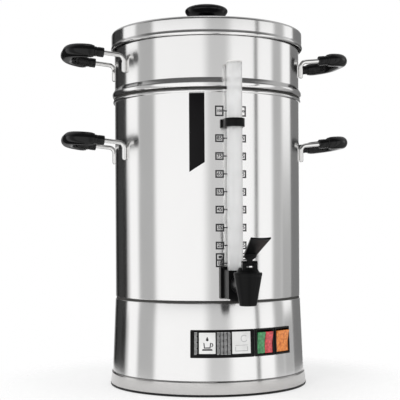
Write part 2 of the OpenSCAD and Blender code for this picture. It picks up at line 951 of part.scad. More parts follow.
// Rocker of a switch: a shallow vee that tips on its pin, with its upper half out at rest
module rocker(a, x, w) {
  end_out = 6;
  middle_out = 4.3;
  end_in = 3;
  root = 3;
  root_half = 4;
  half = rocker_l / 2;
  on_skirt(a, panel_z)
    translate([x, pivot_in, 0])
      rotate([rocker_tilt, 0, 0])
        difference() {
          rotate([90, 0, 90])
            linear_extrude(height = w, center = true)
              polygon([
                [-end_out, -half], [-middle_out, 0], [-end_out, half],
                [-end_in, half], [root, root_half], [root, -root_half], [-end_in, -half]
              ]);
          rotate([0, 90, 0])
            cylinder(r = pivot_r + run_gap, h = w + 2 * past, center = true);
        }
}

module green_rocker() {
  color("limegreen") rocker(double_az, -rocker_x, narrow_w);
}

module red_rocker() {
  color("red") rocker(double_az, rocker_x, narrow_w);
}

module orange_rocker() {
  color("orangered") rocker(single_az, 0, wide_w);
}

// Tank: wall, bottom, sump and rolled rim, with the hole for the shank
module tank() {
  rim_in = 0.25;
  color("silver")
    difference() {
      rotate_extrude()
        difference() {
          union() {
            translate([0, tank_z]) square([vessel_r, tank_h]);
            translate([vessel_r - rim_in, rim_z - rim_r]) circle(r = rim_r);
            translate([0, sump_floor]) square([sump_r + bottom_t, sump_depth + past]);
          }
          translate([-past, tank_z + bottom_t])
            square([vessel_r - sheet + past, tank_h]);
          translate([-past, sump_floor + bottom_t])
            square([sump_r + past, sump_depth + bottom_t]);
          translate([-2 * past, 0])
            square([2 * past, rim_z]);
        }
      along_y(shank_r + window_gap, vessel_r / 2, vessel_r + past, tap_z);
    }
}

// Welded end of a handle wire, with a round tip
module wire_leg(z) {
  steps = 6;
  translate([0, 0, z - leg_drop])
    rotate_extrude()
      polygon(concat(
        arc([0, wire_r], wire_r, -90, 0, steps),
        [[wire_r, leg_drop - bend_r - swell_in], [0, leg_drop - bend_r - swell_in]]
      ));
}

// Slight swell where the wire's bend meets a straight stretch
module wire_swell() {
  sphere(r = wire_r + swell);
}

// Section of a handle's loop: a disc, or a ring where the wire passes through
module loop_section(r, bore) {
  difference() {
    circle(r = r);
    if (bore > 0) circle(r = bore);
  }
}

// Straight part of a handle's loop, along +X
module loop_straight(r, bore, x0, x1) {
  translate([x0, 0, 0])
    rotate([0, 90, 0])
      linear_extrude(height = x1 - x0)
        loop_section(r, bore);
}

// Outer end of a handle's loop: two corners and the bar between them
module loop_end(r, bore) {
  half = leg_gap / 2 - corner_r;
  for (s = [0, 1])
    mirror([0, s, 0])
      translate([corner_x, half, 0])
        rotate_extrude(angle = 90)
          translate([corner_r, 0])
            loop_section(r, bore);
  translate([corner_x + corner_r, half, 0])
    rotate([90, 0, 0])
      linear_extrude(height = 2 * half)
        loop_section(r, bore);
}

// Places its children in the tilted plane of a handle on the +X side
module in_handle_plane(z) {
  translate([run_x, 0, z - run_rise])
    rotate([0, -handle_tilt, 0])
      children();
}

// Wire of a handle on the +X side
module handle_wire(z) {
  color("silver") {
    for (s = [-1, 1])
      translate([leg_x, s * leg_gap / 2, 0]) {
        wire_leg(z);
        translate([0, 0, z - bend_r]) wire_swell();
        translate([bend_r, 0, z - bend_r])
          rotate([90, 0, 0])
            rotate([0, 0, 90 + handle_tilt])
              rotate_extrude(angle = 90 - handle_tilt)
                translate([bend_r, 0])
                  circle(r = wire_r);
      }
    in_handle_plane(z) {
      for (s = [-1, 1])
        translate([0, s * leg_gap / 2, 0]) {
          wire_swell();
          loop_straight(wire_r, 0, swell_in, corner_x);
        }
      loop_end(wire_r, 0);
    }
  }
}

// Grip of a handle on the +X side, with a slim collar at each end
module handle_grip(z) {
  bore = wire_r + face_gap;
  color("black")
    in_handle_plane(z) {
      for (s = [-1, 1])
        translate([0, s * leg_gap / 2, 0])
          loop_straight(collar_r, bore, corner_x - collar_l, corner_x);
      loop_end(grip_r, bore);
    }
}

module left_tank_handle() {
  rotate([0, 0, 180]) handle_wire(tank_handle_z);
}

module right_tank_handle() {
  handle_wire(tank_handle_z);
}

module left_tank_grip() {
  rotate([0, 0, 180]) handle_grip(tank_handle_z);
}

module right_tank_grip() {
  handle_grip(tank_handle_z);
}

module left_filter_handle() {
  rotate([0, 0, 180]) handle_wire(filter_handle_z);
}

module right_filter_handle() {
  handle_wire(filter_handle_z);
}

module left_filter_grip() {
  rotate([0, 0, 180]) handle_grip(filter_handle_z);
}

module right_filter_grip() {
  handle_grip(filter_handle_z);
}

// Block under the gauge tube: flange, body and the shank through the tank wall
module gauge_block() {
  flange_w_out = block_w + 2 * block_flange_out;
  color("#222222")
    difference() {
      union() {
        translate([-flange_w_out / 2, -block_y, block_z - past])
          cube([flange_w_out, block_flange_t, flange_h + past]);
        translate([-block_w / 2, -block_front_y, block_z])
          cube([block_w, block_d, block_h]);
        along_y(shank_r, vessel_r - shank_in, block_y, tap_z);
      }
      along_y(flow_r, vessel_r - shank_in - past, block_front_y + past, tap_z);
      along_y(tap_spigot_r + face_gap, block_front_y - spigot_in, block_front_y + past, tap_z);
      translate([0, -tube_y, tap_z]) cylinder(r = tube_bore_r, h = socket_z - tap_z + past);
      translate([0, -tube_y, socket_z])
        cylinder(r = tube_r + tube_seal_t + 2 * face_gap, h = socket_h + block_flange_up + past);
      translate([0, -tube_y, block_z - past]) cylinder(r = flow_r, h = tap_z - block_z + past);
    }
}

// Gasket between the block's flange and the curved tank wall
module wall_gasket() {
  w = block_w + 2 * block_flange_out;
  color("#111111")
    difference() {
      translate([-w / 2, -flange_face_y, block_z - past])
        cube([w, 2 * wall_gasket_t, flange_h + past]);
      cylinder(r = vessel_r + face_gap, h = rim_z, $fn = wall_fn);
      along_y(shank_r + window_gap, 0, flange_face_y + past, tap_z);
    }
}

// Washer between the nut and the inside of the tank wall
module inner_washer() {
  washer_r = shank_r + washer_out;
  color("gray")
    difference() {
      intersection() {
        along_y(washer_r, nut_y + nut_t, vessel_r, tap_z);
        cylinder(r = vessel_r - sheet - face_gap, h = rim_z, $fn = wall_fn);
      }
      along_y(shank_r + window_gap, 0, vessel_r, tap_z);
    }
}

// Nut that holds the block from inside the tank
module shank_nut() {
  color("black")
    difference() {
      along_y(shank_r + nut_out, nut_y, nut_y + nut_t, tap_z, 6);
      along_y(shank_r + run_gap, nut_y - past, nut_y + nut_t + past, tap_z);
    }
}

// Plug under the block, for cleaning the gauge
module drain_plug() {
  plug_out = 2;
  plug_head_h = 4;
  plug_l = 11;
  color("black")
    translate([0, -tube_y, block_z - plug_head_h]) {
      cylinder(r = flow_r + plug_out, h = plug_head_h);
      cylinder(r = flow_r - face_gap, h = plug_head_h + plug_l);
    }
}

// Clear thick-walled gauge tube
module gauge_tube() {
  color("lightcyan", 0.5)
    translate([0, -tube_y, tube_z])
      difference() {
        cylinder(r = tube_r, h = tube_l);
        translate([0, 0, -past]) cylinder(r = tube_bore_r, h = tube_l + 2 * past);
      }
}

// Rubber seal round the foot of the tube
module tube_seal() {
  seal_down = 2;
  color("dimgray")
    translate([0, -tube_y, socket_z])
      difference() {
        cylinder(r = tube_r + face_gap + tube_seal_t, h = socket_h - seal_down);
        translate([0, 0, -past]) cylinder(r = tube_r + face_gap, h = socket_h);
      }
}

// Vented cap in the top of the tube
module tube_cap() {
  cap_h = 2;
  plug_l = 8;
  vent = 1.5;
  color("white")
    translate([0, -tube_y, tube_top])
      difference() {
        union() {
          cylinder(r = tube_r, h = cap_h);
          translate([0, 0, -plug_l]) cylinder(r = tube_bore_r - face_gap, h = plug_l + past);
        }
        translate([0, 0, -plug_l - past]) cylinder(r = vent, h = plug_l + cap_h + 2 * past);
      }
}

// Clip that holds the tube to the tank wall
module tube_clip() {
  foot_t = 3;
  ring_r = tube_r + clip_t;
  color("black")
    translate([0, 0, rim_z - clip_down - clip_h / 2])
      linear_extrude(height = clip_h)
        difference() {
          union() {
            translate([0, -tube_y]) circle(r = ring_r);
            translate([-ring_r, -tube_y]) square([2 * ring_r, tube_off]);
            translate([-clip_foot_w / 2, -vessel_r - foot_t]) square([clip_foot_w, 2 * foot_t]);
          }
          circle(r = vessel_r + face_gap, $fn = wall_fn);
          translate([0, -tube_y]) circle(r = tube_r + face_gap);
        }
}

// Tap: neck, spigot, valve chamber and conical spout
module tap_body() {
  edge = 1.5;
  color("#1a1a1a")
    difference() {
      union() {
        translate([0, -spout_y, 0])
          rotate_extrude()
            polygon([
              [0, spout_end], [spout_end_r - edge, spout_end], [spout_end_r, spout_end + edge],
              [spout_top_r, spout_top - edge], [spout_top_r - edge, spout_top], [0, spout_top]
            ]);
        along_y(neck_r, block_front_y, spout_y, tap_z);
        along_y(tap_spigot_r, block_front_y - spigot_in, block_front_y + past, tap_z);
      }
      along_y(flow_r, block_front_y - spigot_in - past, spout_y, tap_z);
      translate([0, -spout_y, seat_z]) cylinder(r = chamber_r, h = spout_top);
      translate([0, -spout_y, 0]) cylinder(r = outlet_r, h = tap_z);
    }
}

// Bonnet on the spout, with the two ears that hold the lever's pin
module tap_bonnet() {
  bore = stem_r + run_gap;
  brim_in = 3;
  color("black")
    difference() {
      union() {
        translate([0, -spout_y, 0])
          rotate_extrude()
            polygon([
              [0, spout_top - boss_drop],
              [chamber_r - face_gap, spout_top - boss_drop],
              [chamber_r - face_gap, spout_top],
              [spout_top_r - brim_in, spout_top],
              [bonnet_r, bonnet_top],
              [0, bonnet_top]
            ]);
        for (s = [0, 1])
          mirror([s, 0, 0])
            translate([ear_in, 0, 0])
              lever_ear();
      }
      translate([0, -spout_y, 0]) cylinder(r = bore, h = pin_z + 2 * ear_r);
      lever_pin_rod(run_gap);
    }
}

// Ear of the bonnet, round at the pin
module lever_ear() {
  translate([0, -pin_y, pin_z])
    rotate([0, 90, 0])
      cylinder(r = ear_r, h = ear_out - ear_in);
  translate([0, -pin_y - ear_r, bonnet_top - bonnet_h / 2])
    cube([ear_out - ear_in, 2 * ear_r, pin_z - bonnet_top + bonnet_h / 2]);
}

module lever_pin_rod(gap) {
  translate([-ear_out - gap, -pin_y, pin_z])
    rotate([0, 90, 0])
      cylinder(r = pin_r + gap, h = 2 * (ear_out + gap));
}

module lever_pin() {
  color("silver") lever_pin_rod(0);
}

// Lever: hub and fork under the stem's head, stalk and flared paddle
module tap_lever() {
  color("#151515")
    difference() {
      union() {
        for (s = [0, 1])
          mirror([s, 0, 0])
            lever_fork();
        translate([-fork_out, -pin_y, pin_z])
          rotate([0, 90, 0])
            cylinder(r = hub_r, h = 2 * fork_out);
        lever_stalk();
        lever_paddle();
      }
      lever_pin_rod(run_gap);
    }
}

// One tine of the fork, which ends in a round toe
module lever_fork() {
  tine_t = 3;
  translate([fork_in, -pin_y, pin_z - tine_t / 2])
    cube([tine_w, pin_off, tine_t]);
  translate([fork_in, -spout_y, pin_z])
    rotate([0, 90, 0])
      cylinder(r = toe_r, h = tine_w);
}

// Stalk from the hub to the root of the paddle
module lever_stalk() {
  hub_in = 0.5;
  hull($fn = 32) {
    translate([-fork_out, -pin_y - hub_in, pin_z + hub_in])
      rotate([0, 90, 0])
        cylinder(r = hub_r - hub_in, h = 2 * fork_out, $fn = 32);
    translate([-fork_out, -lever_root_y, lever_root_z])
      rotate([0, 90, 0])
        cylinder(r = paddle_t / 2, h = 2 * fork_out, $fn = 32);
  }
}

// Flared paddle, from its root outwards and up
module lever_paddle() {
  tip_r = 3;
  tip_t = 0.8 * paddle_t;
  translate([0, -lever_root_y, lever_root_z])
    rotate([-paddle_angle, 0, 0])
      hull($fn = 32) {
        translate([0, 0, -paddle_t / 2])
          cylinder(d = paddle_root_w, h = paddle_t, $fn = 32);
        for (s = [-1, 1])
          translate([s * (paddle_tip_w / 2 - tip_r), -paddle_l + tip_r, -paddle_t / 2])
            cylinder(r = tip_r, h = tip_t, $fn = 32);
      }
}

// Stem of the valve: foot in the cup, flange under the spring, rod and head
module tap_stem() {
  foot_r_stem = 2.4;
  flange_r_stem = 6;
  foot_drop = 2.5;
  color("silver")
    translate([0, -spout_y, 0])
      rotate_extrude()
        polygon([
          [0, stem_flange_z - foot_drop],
          [foot_r_stem, stem_flange_z - foot_drop],
          [foot_r_stem, stem_flange_z],
          [flange_r_stem, stem_flange_z],
          [flange_r_stem, stem_flange_z + stem_flange_t],
          [stem_r, stem_flange_z + stem_flange_t],
          [stem_r, head_z],
          [head_r, head_z],
          [head_r, head_z + head_h],
          [0, head_z + head_h]
        ]);
}

// Silicone cup that closes the outlet
module seat_cup() {
  cup_side = 1;
  cup_bore = 2.45;
  bore_h = 2.6;
  color("saddlebrown")
    translate([0, -spout_y, cup_z])
      difference() {
        cylinder(r = chamber_r - cup_side, h = cup_h);
        translate([0, 0, cup_h - bore_h]) cylinder(r = cup_bore, h = bore_h + past);
      }
}

// Spring between the stem's flange and the bonnet
module tap_spring() {
  color("gray")
    translate([0, -spout_y, 0])
      tube_along(spring_path, spring_wire_r, spring_sides);
}

// Least gap between neighbouring turns of the spring, measured between the points of its path
echo(spring_gap = min([
  for (i = [0 : len(spring_path) - spring_steps / 2 - 1])
    for (j = [i + spring_steps / 2 : len(spring_path) - 1])
      norm(spring_path[i] - spring_path[j])
]) - 2 * spring_wire_r);

// Filter section: spigot, bead, wall and rolled top edge
module filter_body() {
  inner_r = vessel_r - sheet;
  bead_z = filter_z + bead_h / 2;
  bead_x = vessel_r + bead_out - bead_h / 2;
  roll_in = 0.4;
  color("silver")
    rotate_extrude()
      difference() {
        union() {
          translate([spigot_r - sheet, spigot_z]) square([sheet, spigot_h + sheet]);
          translate([spigot_r - filter_ledge_w, spigot_z]) square([filter_ledge_w, sheet]);
          translate([spigot_r - sheet, filter_z]) square([vessel_r - spigot_r + sheet, sheet]);
          translate([inner_r, filter_z]) square([sheet, filter_h - rim_roll_r]);
          translate([vessel_r - roll_in, filter_top - rim_roll_r]) circle(r = rim_roll_r);
          bead_section(bead_x, bead_z);
        }
        translate([0, filter_z + sheet]) square([spigot_r - sheet, filter_h]);
        translate([0, filter_z + bead_h]) square([inner_r, filter_h]);
      }
}

// Hollow half-round bead, open towards the inside
module bead_section(x, z) {
  intersection() {
    difference() {
      translate([x, z]) circle(r = bead_h / 2);
      translate([x, z]) circle(r = bead_h / 2 - sheet);
    }
    translate([vessel_r - sheet, z - bead_h / 2]) square([2 * bead_h, bead_h]);
  }
}

// Seal between the filter section and the tank rim
module filter_seal() {
  seal_out = 1.5;
  color("#333333")
    rotate_extrude()
      translate([spigot_r + face_gap, filter_z - seal_h])
        square([vessel_r + seal_out - spigot_r, seal_h]);
}

// Perforated plate on the ledge of the spigot
module filter_plate() {
  first_ring = 22;
  border = 4;
  ring_step = (spigot_r - filter_ledge_w - first_ring - border) / (drip_rings - 1);
  color("lightgray")
    translate([0, 0, filter_plate_z])
      difference() {
        cylinder(r = spigot_r - sheet - face_gap, h = filter_plate_t);
        translate([0, 0, -past]) cylinder(r = riser_r + run_gap, h = filter_plate_t + 2 * past);
        for (k = [0 : drip_rings - 1])
          for (i = [0 : 6 * (k + 1) - 1])
            rotate([0, 0, 360 * i / (6 * (k + 1))])
              translate([first_ring + k * ring_step, 0, -past])
                cylinder(r = drip_r, h = filter_plate_t + 2 * past);
      }
}

// Riser tube with the collar that hangs it on the filter plate
module riser_tube() {
  color("silver")
    difference() {
      union() {
        translate([0, 0, riser_z]) cylinder(r = riser_r, h = riser_top - riser_z);
        translate([0, 0, filter_plate_z + filter_plate_t])
          cylinder(r = riser_r + collar_out, h = collar_h);
      }
      translate([0, 0, riser_z - past])
        cylinder(r = riser_r - riser_wall, h = riser_top - riser_z + 2 * past);
    }
}

// Bell at the foot of the riser, which stands in the sump
module pump_bell() {
  bell_z = sump_floor + bottom_t + seat_gap;
  mouth_gap = 3;
  mouth_r = sump_r - mouth_gap;
  mouth_h = 4;
  neck = riser_r + face_gap;
  neck_h = 8;
  color("silver")
    rotate_extrude()
      polygon([
        [mouth_r, bell_z],
        [mouth_r, bell_z + mouth_h],
        [neck + sheet, bell_z + bell_h - neck_h],
        [neck + sheet, bell_z + bell_h],
        [neck, bell_z + bell_h],
        [neck, bell_z + bell_h - neck_h - sheet],
        [mouth_r - sheet, bell_z + mouth_h - sheet],
        [mouth_r - sheet, bell_z]
      ]);
}

// Spray head that spreads the water over the grounds
module spray_head() {
  slope = 6;
  hole_n = 12;
  hub_h = 10;
  hub = riser_r + face_gap;
  hub_t = 2;
  hole_ring_r = 0.7 * spray_r;
  color("lightgray")
    translate([0, 0, riser_top - hub_h])
      difference() {
        rotate_extrude()
          polygon([
            [hub, 0],
            [hub + hub_t, 0],
            [hub + hub_t, hub_h - hub_t - sheet],
            [spray_r, hub_h - slope - sheet],
            [spray_r, hub_h - slope],
            [hub + hub_t, hub_h],
            [hub, hub_h]
          ]);
        for (i = [0 : hole_n - 1])
          rotate([0, 0, 360 * i / hole_n])
            translate([hole_ring_r, 0, -past])
              cylinder(r = drip_r, h = 2 * hub_h);
      }
}

// Lid: dome, rounded edge, wall and rolled bead
module lid() {
  steps = dome_steps;
  bead_out_lid = 0.8;
  edge_c = [lid_edge_in, lid_seat_z + sheet - lid_edge_r];
  bead_c = [lid_r + bead_out_lid - lid_bead_r, lid_z + lid_bead_r];
  bead_from = acos((lid_r - bead_c[0]) / lid_bead_r);
  bead_to = -acos((lid_r - sheet - bead_c[0]) / lid_bead_r);
  crown = [for (i = [0 : steps - 1])
    let (r = lid_edge_in * i / steps) [r, lid_seat_z + sheet + dome(r)]];
  color("silver")
    difference() {
      rotate_extrude()
        polygon(concat(
          crown,
          arc(edge_c, lid_edge_r, 90, 0, steps),
          arc(bead_c, lid_bead_r, bead_from, bead_to, 2 * steps),
          arc(edge_c, lid_edge_r - sheet, 0, 90, steps),
          [for (i = [1 : steps]) crown[steps - i] - [0, sheet]]
        ));
      cylinder(r = knob_screw_r + run_gap, h = 2 * lid_top_z);
    }
}

// Round black knob: foot, flared underside, full edge and domed crown
module lid_knob() {
  widest = knob_z + knob_h - knob_crown;
  steps = 10;
  waist_in = 1.5;
  waist_up = 6;
  flare_down = 15;
  brim_down = 8;
  brim_in = 5.5;
  edge_down = 3;
  crown = [for (i = [0 : steps - 1])
    let (a = 90 * i / steps)
    [knob_r * pow(cos(a), 0.7), widest + knob_crown * pow(sin(a), 1.15)]];
  color("#0a0a0a")
    difference() {
      rotate_extrude()
        polygon(concat(
          [
            [0, knob_z],
            [knob_foot_r, knob_z],
            [knob_foot_r - waist_in, knob_z + waist_up],
            [knob_foot_r + waist_in, widest - flare_down],
            [knob_r - brim_in, widest - brim_down],
            [knob_r - waist_in, widest - edge_down]
          ],
          crown,
          [[0, widest + knob_crown]]
        ));
      translate([0, 0, knob_z - past])
        cylinder(r = knob_screw_r + run_gap, h = knob_screw_l - washer_t - sheet + past);
    }
}

// Screw from under the lid into the knob
module lid_screw() {
  head_t = 2.5;
  head_r = 2 * knob_screw_r;
  fall = head_r * lid_dome / lid_edge_in / dome_steps;
  under = lid_top_z - sheet - fall - face_gap;
  color("silver")
    translate([0, 0, under - head_t]) {
      cylinder(r = head_r, h = head_t);
      cylinder(r = knob_screw_r, h = head_t + knob_screw_l - past);
    }
}

// Washer between the lid and the knob
module knob_washer() {
  washer_lip = 1;
  color("dimgray")
    translate([0, 0, lid_top_z])
      difference() {
        cylinder(r = knob_foot_r + washer_lip, h = washer_t);
        translate([0, 0, -past]) cylinder(r = knob_screw_r + run_gap, h = washer_t + 2 * past);
      }
}

foot_edge_trim();
foot_ring();
base_skirt();
bottom_plate();
bottom_screws();
base_gasket();
tie_stud();
tie_nut();
heat_plate();
heating_element();
thermostat();
safety_cutout();
terminal_block();
lead_harness();
power_inlet();
inlet_pins();
panel_plate();
name_plate();
double_switch_housing();
single_switch_housing();
switch_terminals();
rocker_pins();
green_rocker();
red_rocker();
orange_rocker();
tank();
left_tank_handle();
right_tank_handle();
left_tank_grip();
right_tank_grip();
gauge_block();
wall_gasket();
inner_washer();
shank_nut();
drain_plug();
gauge_tube();
tube_seal();
tube_cap();
tube_clip();
tap_body();
tap_bonnet();
lever_pin();
tap_lever();
tap_stem();
seat_cup();
tap_spring();
filter_body();
filter_seal();
filter_plate();
riser_tube();
pump_bell();
spray_head();
left_filter_handle();
right_filter_handle();
left_filter_grip();
right_filter_grip();
lid();
lid_knob();
lid_screw();
knob_washer();
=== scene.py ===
"""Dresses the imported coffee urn: polished shells, handles, gauge, tap, switches and the studio.

Each sub-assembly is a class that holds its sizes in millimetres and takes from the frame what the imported
nodes give. The bench turns forms into pieces, finishes them and puts them on their bodies. Z is up, the
urn stands on Z = 0, and the tap points towards -Y.
"""

import json
import logging
import math
from collections.abc import Callable, Sequence
from dataclasses import dataclass, field
from enum import Enum

import bmesh
import bpy
from mathutils import Matrix, Vector


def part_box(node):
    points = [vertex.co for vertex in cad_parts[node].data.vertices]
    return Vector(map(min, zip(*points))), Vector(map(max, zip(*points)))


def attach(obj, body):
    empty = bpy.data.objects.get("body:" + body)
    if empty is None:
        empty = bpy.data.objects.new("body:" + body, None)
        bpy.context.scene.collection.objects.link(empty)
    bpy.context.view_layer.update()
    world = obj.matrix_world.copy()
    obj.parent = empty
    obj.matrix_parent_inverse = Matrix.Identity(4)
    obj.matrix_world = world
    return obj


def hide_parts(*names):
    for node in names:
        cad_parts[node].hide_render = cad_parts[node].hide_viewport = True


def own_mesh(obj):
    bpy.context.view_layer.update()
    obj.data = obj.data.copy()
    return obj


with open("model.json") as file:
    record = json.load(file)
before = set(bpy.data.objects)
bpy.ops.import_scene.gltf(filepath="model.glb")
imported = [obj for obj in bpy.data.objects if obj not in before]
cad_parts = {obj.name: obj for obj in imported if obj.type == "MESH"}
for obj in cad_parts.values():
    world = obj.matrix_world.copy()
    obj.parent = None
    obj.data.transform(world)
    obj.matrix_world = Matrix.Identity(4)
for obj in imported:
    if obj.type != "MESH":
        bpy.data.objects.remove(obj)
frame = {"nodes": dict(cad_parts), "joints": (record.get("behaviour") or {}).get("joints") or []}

LOG = logging.getLogger("coffee_urn")
MM = 0.001
HOOP = 224
VESSEL_R = 130.0
SHEET = 1.0
FACE_GAP = 0.05
ON_AXIS = 1e-6
WELD = 1e-5
NOISE_SPAN = (0.25, 0.75)
TINT_SPAN = (0.3, 0.7)
Pair = tuple[float, float]
Point = tuple[float, float]
Point3 = tuple[float, float, float]
Bar = tuple[float, float, float, float]
Place = Callable[[float, float, float], Point3]
Form = bmesh.types.BMesh
Socket = bpy.types.NodeSocket


def lowest(node: str, axis: int = 2) -> float:
    """Returns the lowest coordinate of a CAD node along an axis, in millimetres."""
    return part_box(node)[0][axis] / MM


def highest(node: str, axis: int = 2) -> float:
    """Returns the highest coordinate of a CAD node along an axis, in millimetres."""
    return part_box(node)[1][axis] / MM


def middle(node: str, axis: int = 2) -> float:
    """Returns the middle of a CAD node along an axis, in millimetres."""
    return (lowest(node, axis) + highest(node, axis)) / 2


def joint(name: str) -> dict:
    """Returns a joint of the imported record."""
    return next(j for j in frame["joints"] if j["name"] == name)


def switch_azimuth(name: str) -> float:
    """Returns the azimuth of a rocker from the axis of its joint."""
    x, y, _ = joint(name)["axis"]
    return math.degrees(math.atan2(-y, -x))


class Body(Enum):
    """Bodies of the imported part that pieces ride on."""

    BASE = "base"
    FILTER = "filter_section"
    LID = "lid_assembly"
    LEVER = "lever"
    GREEN = "green_switch"
    RED = "red_switch"
    ORANGE = "orange_switch"


class Side(Enum):
    """Side of the vessel, as the sign of X."""

    LEFT = -1
    RIGHT = 1


class Grain(Enum):
    """Direction of a metal's polishing lines, as their density along X, Y and Z."""

    HOOP = (6.0, 6.0, 1400.0)
    EVEN = (260.0, 260.0, 260.0)


class NodeBoard:
    """Wires one material's nodes."""

    def __init__(self, name: str) -> None:
        """Starts an empty material.

        Args:
            name: Name of the material.
        """
        self.material = bpy.data.materials.new(name)
        self.material.use_nodes = True
        self.tree = self.material.node_tree
        self.tree.nodes.clear()

    def node(self, kind: str, **values: object) -> bpy.types.Node:
        """Adds a node.

        Args:
            kind: Blender's name of the node type.
            values: Settings by attribute name, or inputs by socket name with blanks as underscores.

        Returns:
            The new node.
        """
        made = self.tree.nodes.new(kind)
        for key, value in values.items():
            socket = made.inputs.get(key.replace("_", " "))
            if socket is not None:
                socket.default_value = value
            else:
                setattr(made, key, value)
        return made

    def wire(self, out: Socket, into: Socket) -> None:
        """Links two sockets."""
        self.tree.links.new(out, into)

    def grain(self, scale: Point3, detail: float = 4.0) -> Socket:
        """Adds a noise that is stretched along the object's axes.

        Args:
            scale: Density of the noise along X, Y and Z, per metre.
            detail: Octaves of the noise.

        Returns:
            The noise's value.
        """
        place = self.node("ShaderNodeTexCoord")
        stretch = self.node("ShaderNodeMapping", Scale=scale)
        noise = self.node("ShaderNodeTexNoise", Scale=1.0, Detail=detail, Roughness=0.55)
        self.wire(place.outputs["Object"], stretch.inputs["Vector"])
        self.wire(stretch.outputs["Vector"], noise.inputs["Vector"])
        return noise.outputs["Fac"]

    def between(self, value: Socket, low: float, high: float) -> Socket:
        """Spreads a noise value over a range.

        Args:
            value: The noise.
            low: Result at the noise's usual lowest value.
            high: Result at its usual highest value.

        Returns:
            The spread value.
        """
        first, last = NOISE_SPAN
        spread = self.node("ShaderNodeMapRange", From_Min=first, From_Max=last, To_Min=low, To_Max=high)
        self.wire(value, spread.inputs["Value"])
        return spread.outputs["Result"]

    def tint(self, value: Socket, dark: Point3, light: Point3) -> Socket:
        """Turns a noise value into a colour between two tints.

        Args:
            value: The noise.
            dark: Colour at its low end.
            light: Colour at its high end.

        Returns:
            The colour.
        """
        ramp = self.node("ShaderNodeValToRGB")
        for element, position, colour in zip(ramp.color_ramp.elements, TINT_SPAN, (dark, light)):
            element.position = position
            element.color = (*colour, 1.0)
        self.wire(value, ramp.inputs["Fac"])
        return ramp.outputs["Color"]

    def relief(self, value: Socket, depth: float, strength: float) -> Socket:
        """Turns a noise value into a bump.

        Args:
            value: The noise.
            depth: Height of the bump in metres.
            strength: Strength of the bump.

        Returns:
            The bumped normal.
        """
        bump = self.node("ShaderNodeBump", Strength=strength, Distance=depth)
        self.wire(value, bump.inputs["Height"])
        return bump.outputs["Normal"]

    def mix(self, share: Socket, first: bpy.types.Node, second: bpy.types.Node) -> bpy.types.Node:
        """Mixes two shaders.

        Args:
            share: Share of the second shader.
            first: The first shader.
            second: The second shader.

        Returns:
            The mixing node.
        """
        made = self.node("ShaderNodeMixShader")
        for out, into in zip((share, first.outputs[0], second.outputs[0]), made.inputs):
            self.wire(out, into)
        return made

    def surface(self, shader: bpy.types.Node) -> bpy.types.Material:
        """Ends the board with the material's output.

        Args:
            shader: Node whose first output is the surface.

        Returns:
            The finished material.
        """
        self.wire(shader.outputs[0], self.node("ShaderNodeOutputMaterial").inputs["Surface"])
        return self.material


@dataclass(frozen=True)
class Finish:
    """A finish: its name, its colour and how rough it is."""

    name: str
    colour: Point3
    rough: float

    def build(self) -> bpy.types.Material:
        """Makes the material."""
        raise NotImplementedError

    def material(self) -> bpy.types.Material:
        """Returns the material, made once."""
        return bpy.data.materials.get(self.name) or self.build()

    def shaded(self, amount: float) -> Point3:
        """Returns the colour times an amount."""
        return tuple(min(1.0, c * amount) for c in self.colour)

    def tinted(self, board: NodeBoard, noise: Socket, amounts: Pair) -> Socket:
        """Returns the colour, varied by a noise between two amounts."""
        return board.tint(noise, self.shaded(amounts[0]), self.shaded(amounts[1]))

    def roughened(self, board: NodeBoard, noise: Socket, amounts: Pair) -> Socket:
        """Returns the roughness, varied by a noise between two amounts."""
        return board.between(noise, amounts[0] * self.rough, amounts[1] * self.rough)


@dataclass(frozen=True)
class Metal(Finish):
    """Steel, aluminium or brass with polishing lines and faint smudges."""

    grain: Grain = Grain.EVEN
    lines: float = 0.05
    stretch: float = 0.0
    line_depth: float = 0.00004
    smudges: Point3 = (17.0, 17.0, 9.0)
    tints: Pair = (0.965, 1.0)
    spread: Pair = (0.8, 1.25)

    def build(self) -> bpy.types.Material:
        """Makes the metal's material.

        Returns:
            The material.
        """
        board = NodeBoard(self.name)
        shader = board.node("ShaderNodeBsdfPrincipled", Metallic=1.0, Anisotropic=self.stretch,
                            Anisotropic_Rotation=0.25)
        smudge = board.grain(self.smudges)
        line = board.grain(self.grain.value, detail=3.0)
        board.wire(self.tinted(board, smudge, self.tints), shader.inputs["Base Color"])
        board.wire(self.roughened(board, smudge, self.spread), shader.inputs["Roughness"])
        board.wire(board.relief(line, self.line_depth, self.lines), shader.inputs["Normal"])
        if self.stretch > 0:
            around = board.node("ShaderNodeTangent", direction_type="RADIAL", axis="Z")
            board.wire(around.outputs["Tangent"], shader.inputs["Tangent"])
        return board.surface(shader)


@dataclass(frozen=True)
class Plastic(Finish):
    """Moulded plastic, rubber or ceramic with a fine grain."""

    grain: float = 1800.0
    depth: float = 0.00004
    strength: float = 0.25
    sheen: float = 0.5
    patches: Point3 = (38.0, 38.0, 38.0)
    tints: Pair = (0.86, 1.1)
    spread: Pair = (0.88, 1.14)

    def build(self) -> bpy.types.Material:
        """Makes the plastic's material.

        Returns:
            The material.
        """
        board = NodeBoard(self.name)
        shader = board.node("ShaderNodeBsdfPrincipled", IOR=1.5, Specular_IOR_Level=self.sheen)
        patch = board.grain(self.patches)
        skin = board.grain((self.grain, self.grain, self.grain), detail=2.0)
        board.wire(self.tinted(board, patch, self.tints), shader.inputs["Base Color"])
        board.wire(self.roughened(board, patch, self.spread), shader.inputs["Roughness"])
        board.wire(board.relief(skin, self.depth, self.strength), shader.inputs["Normal"])
        return board.surface(shader)


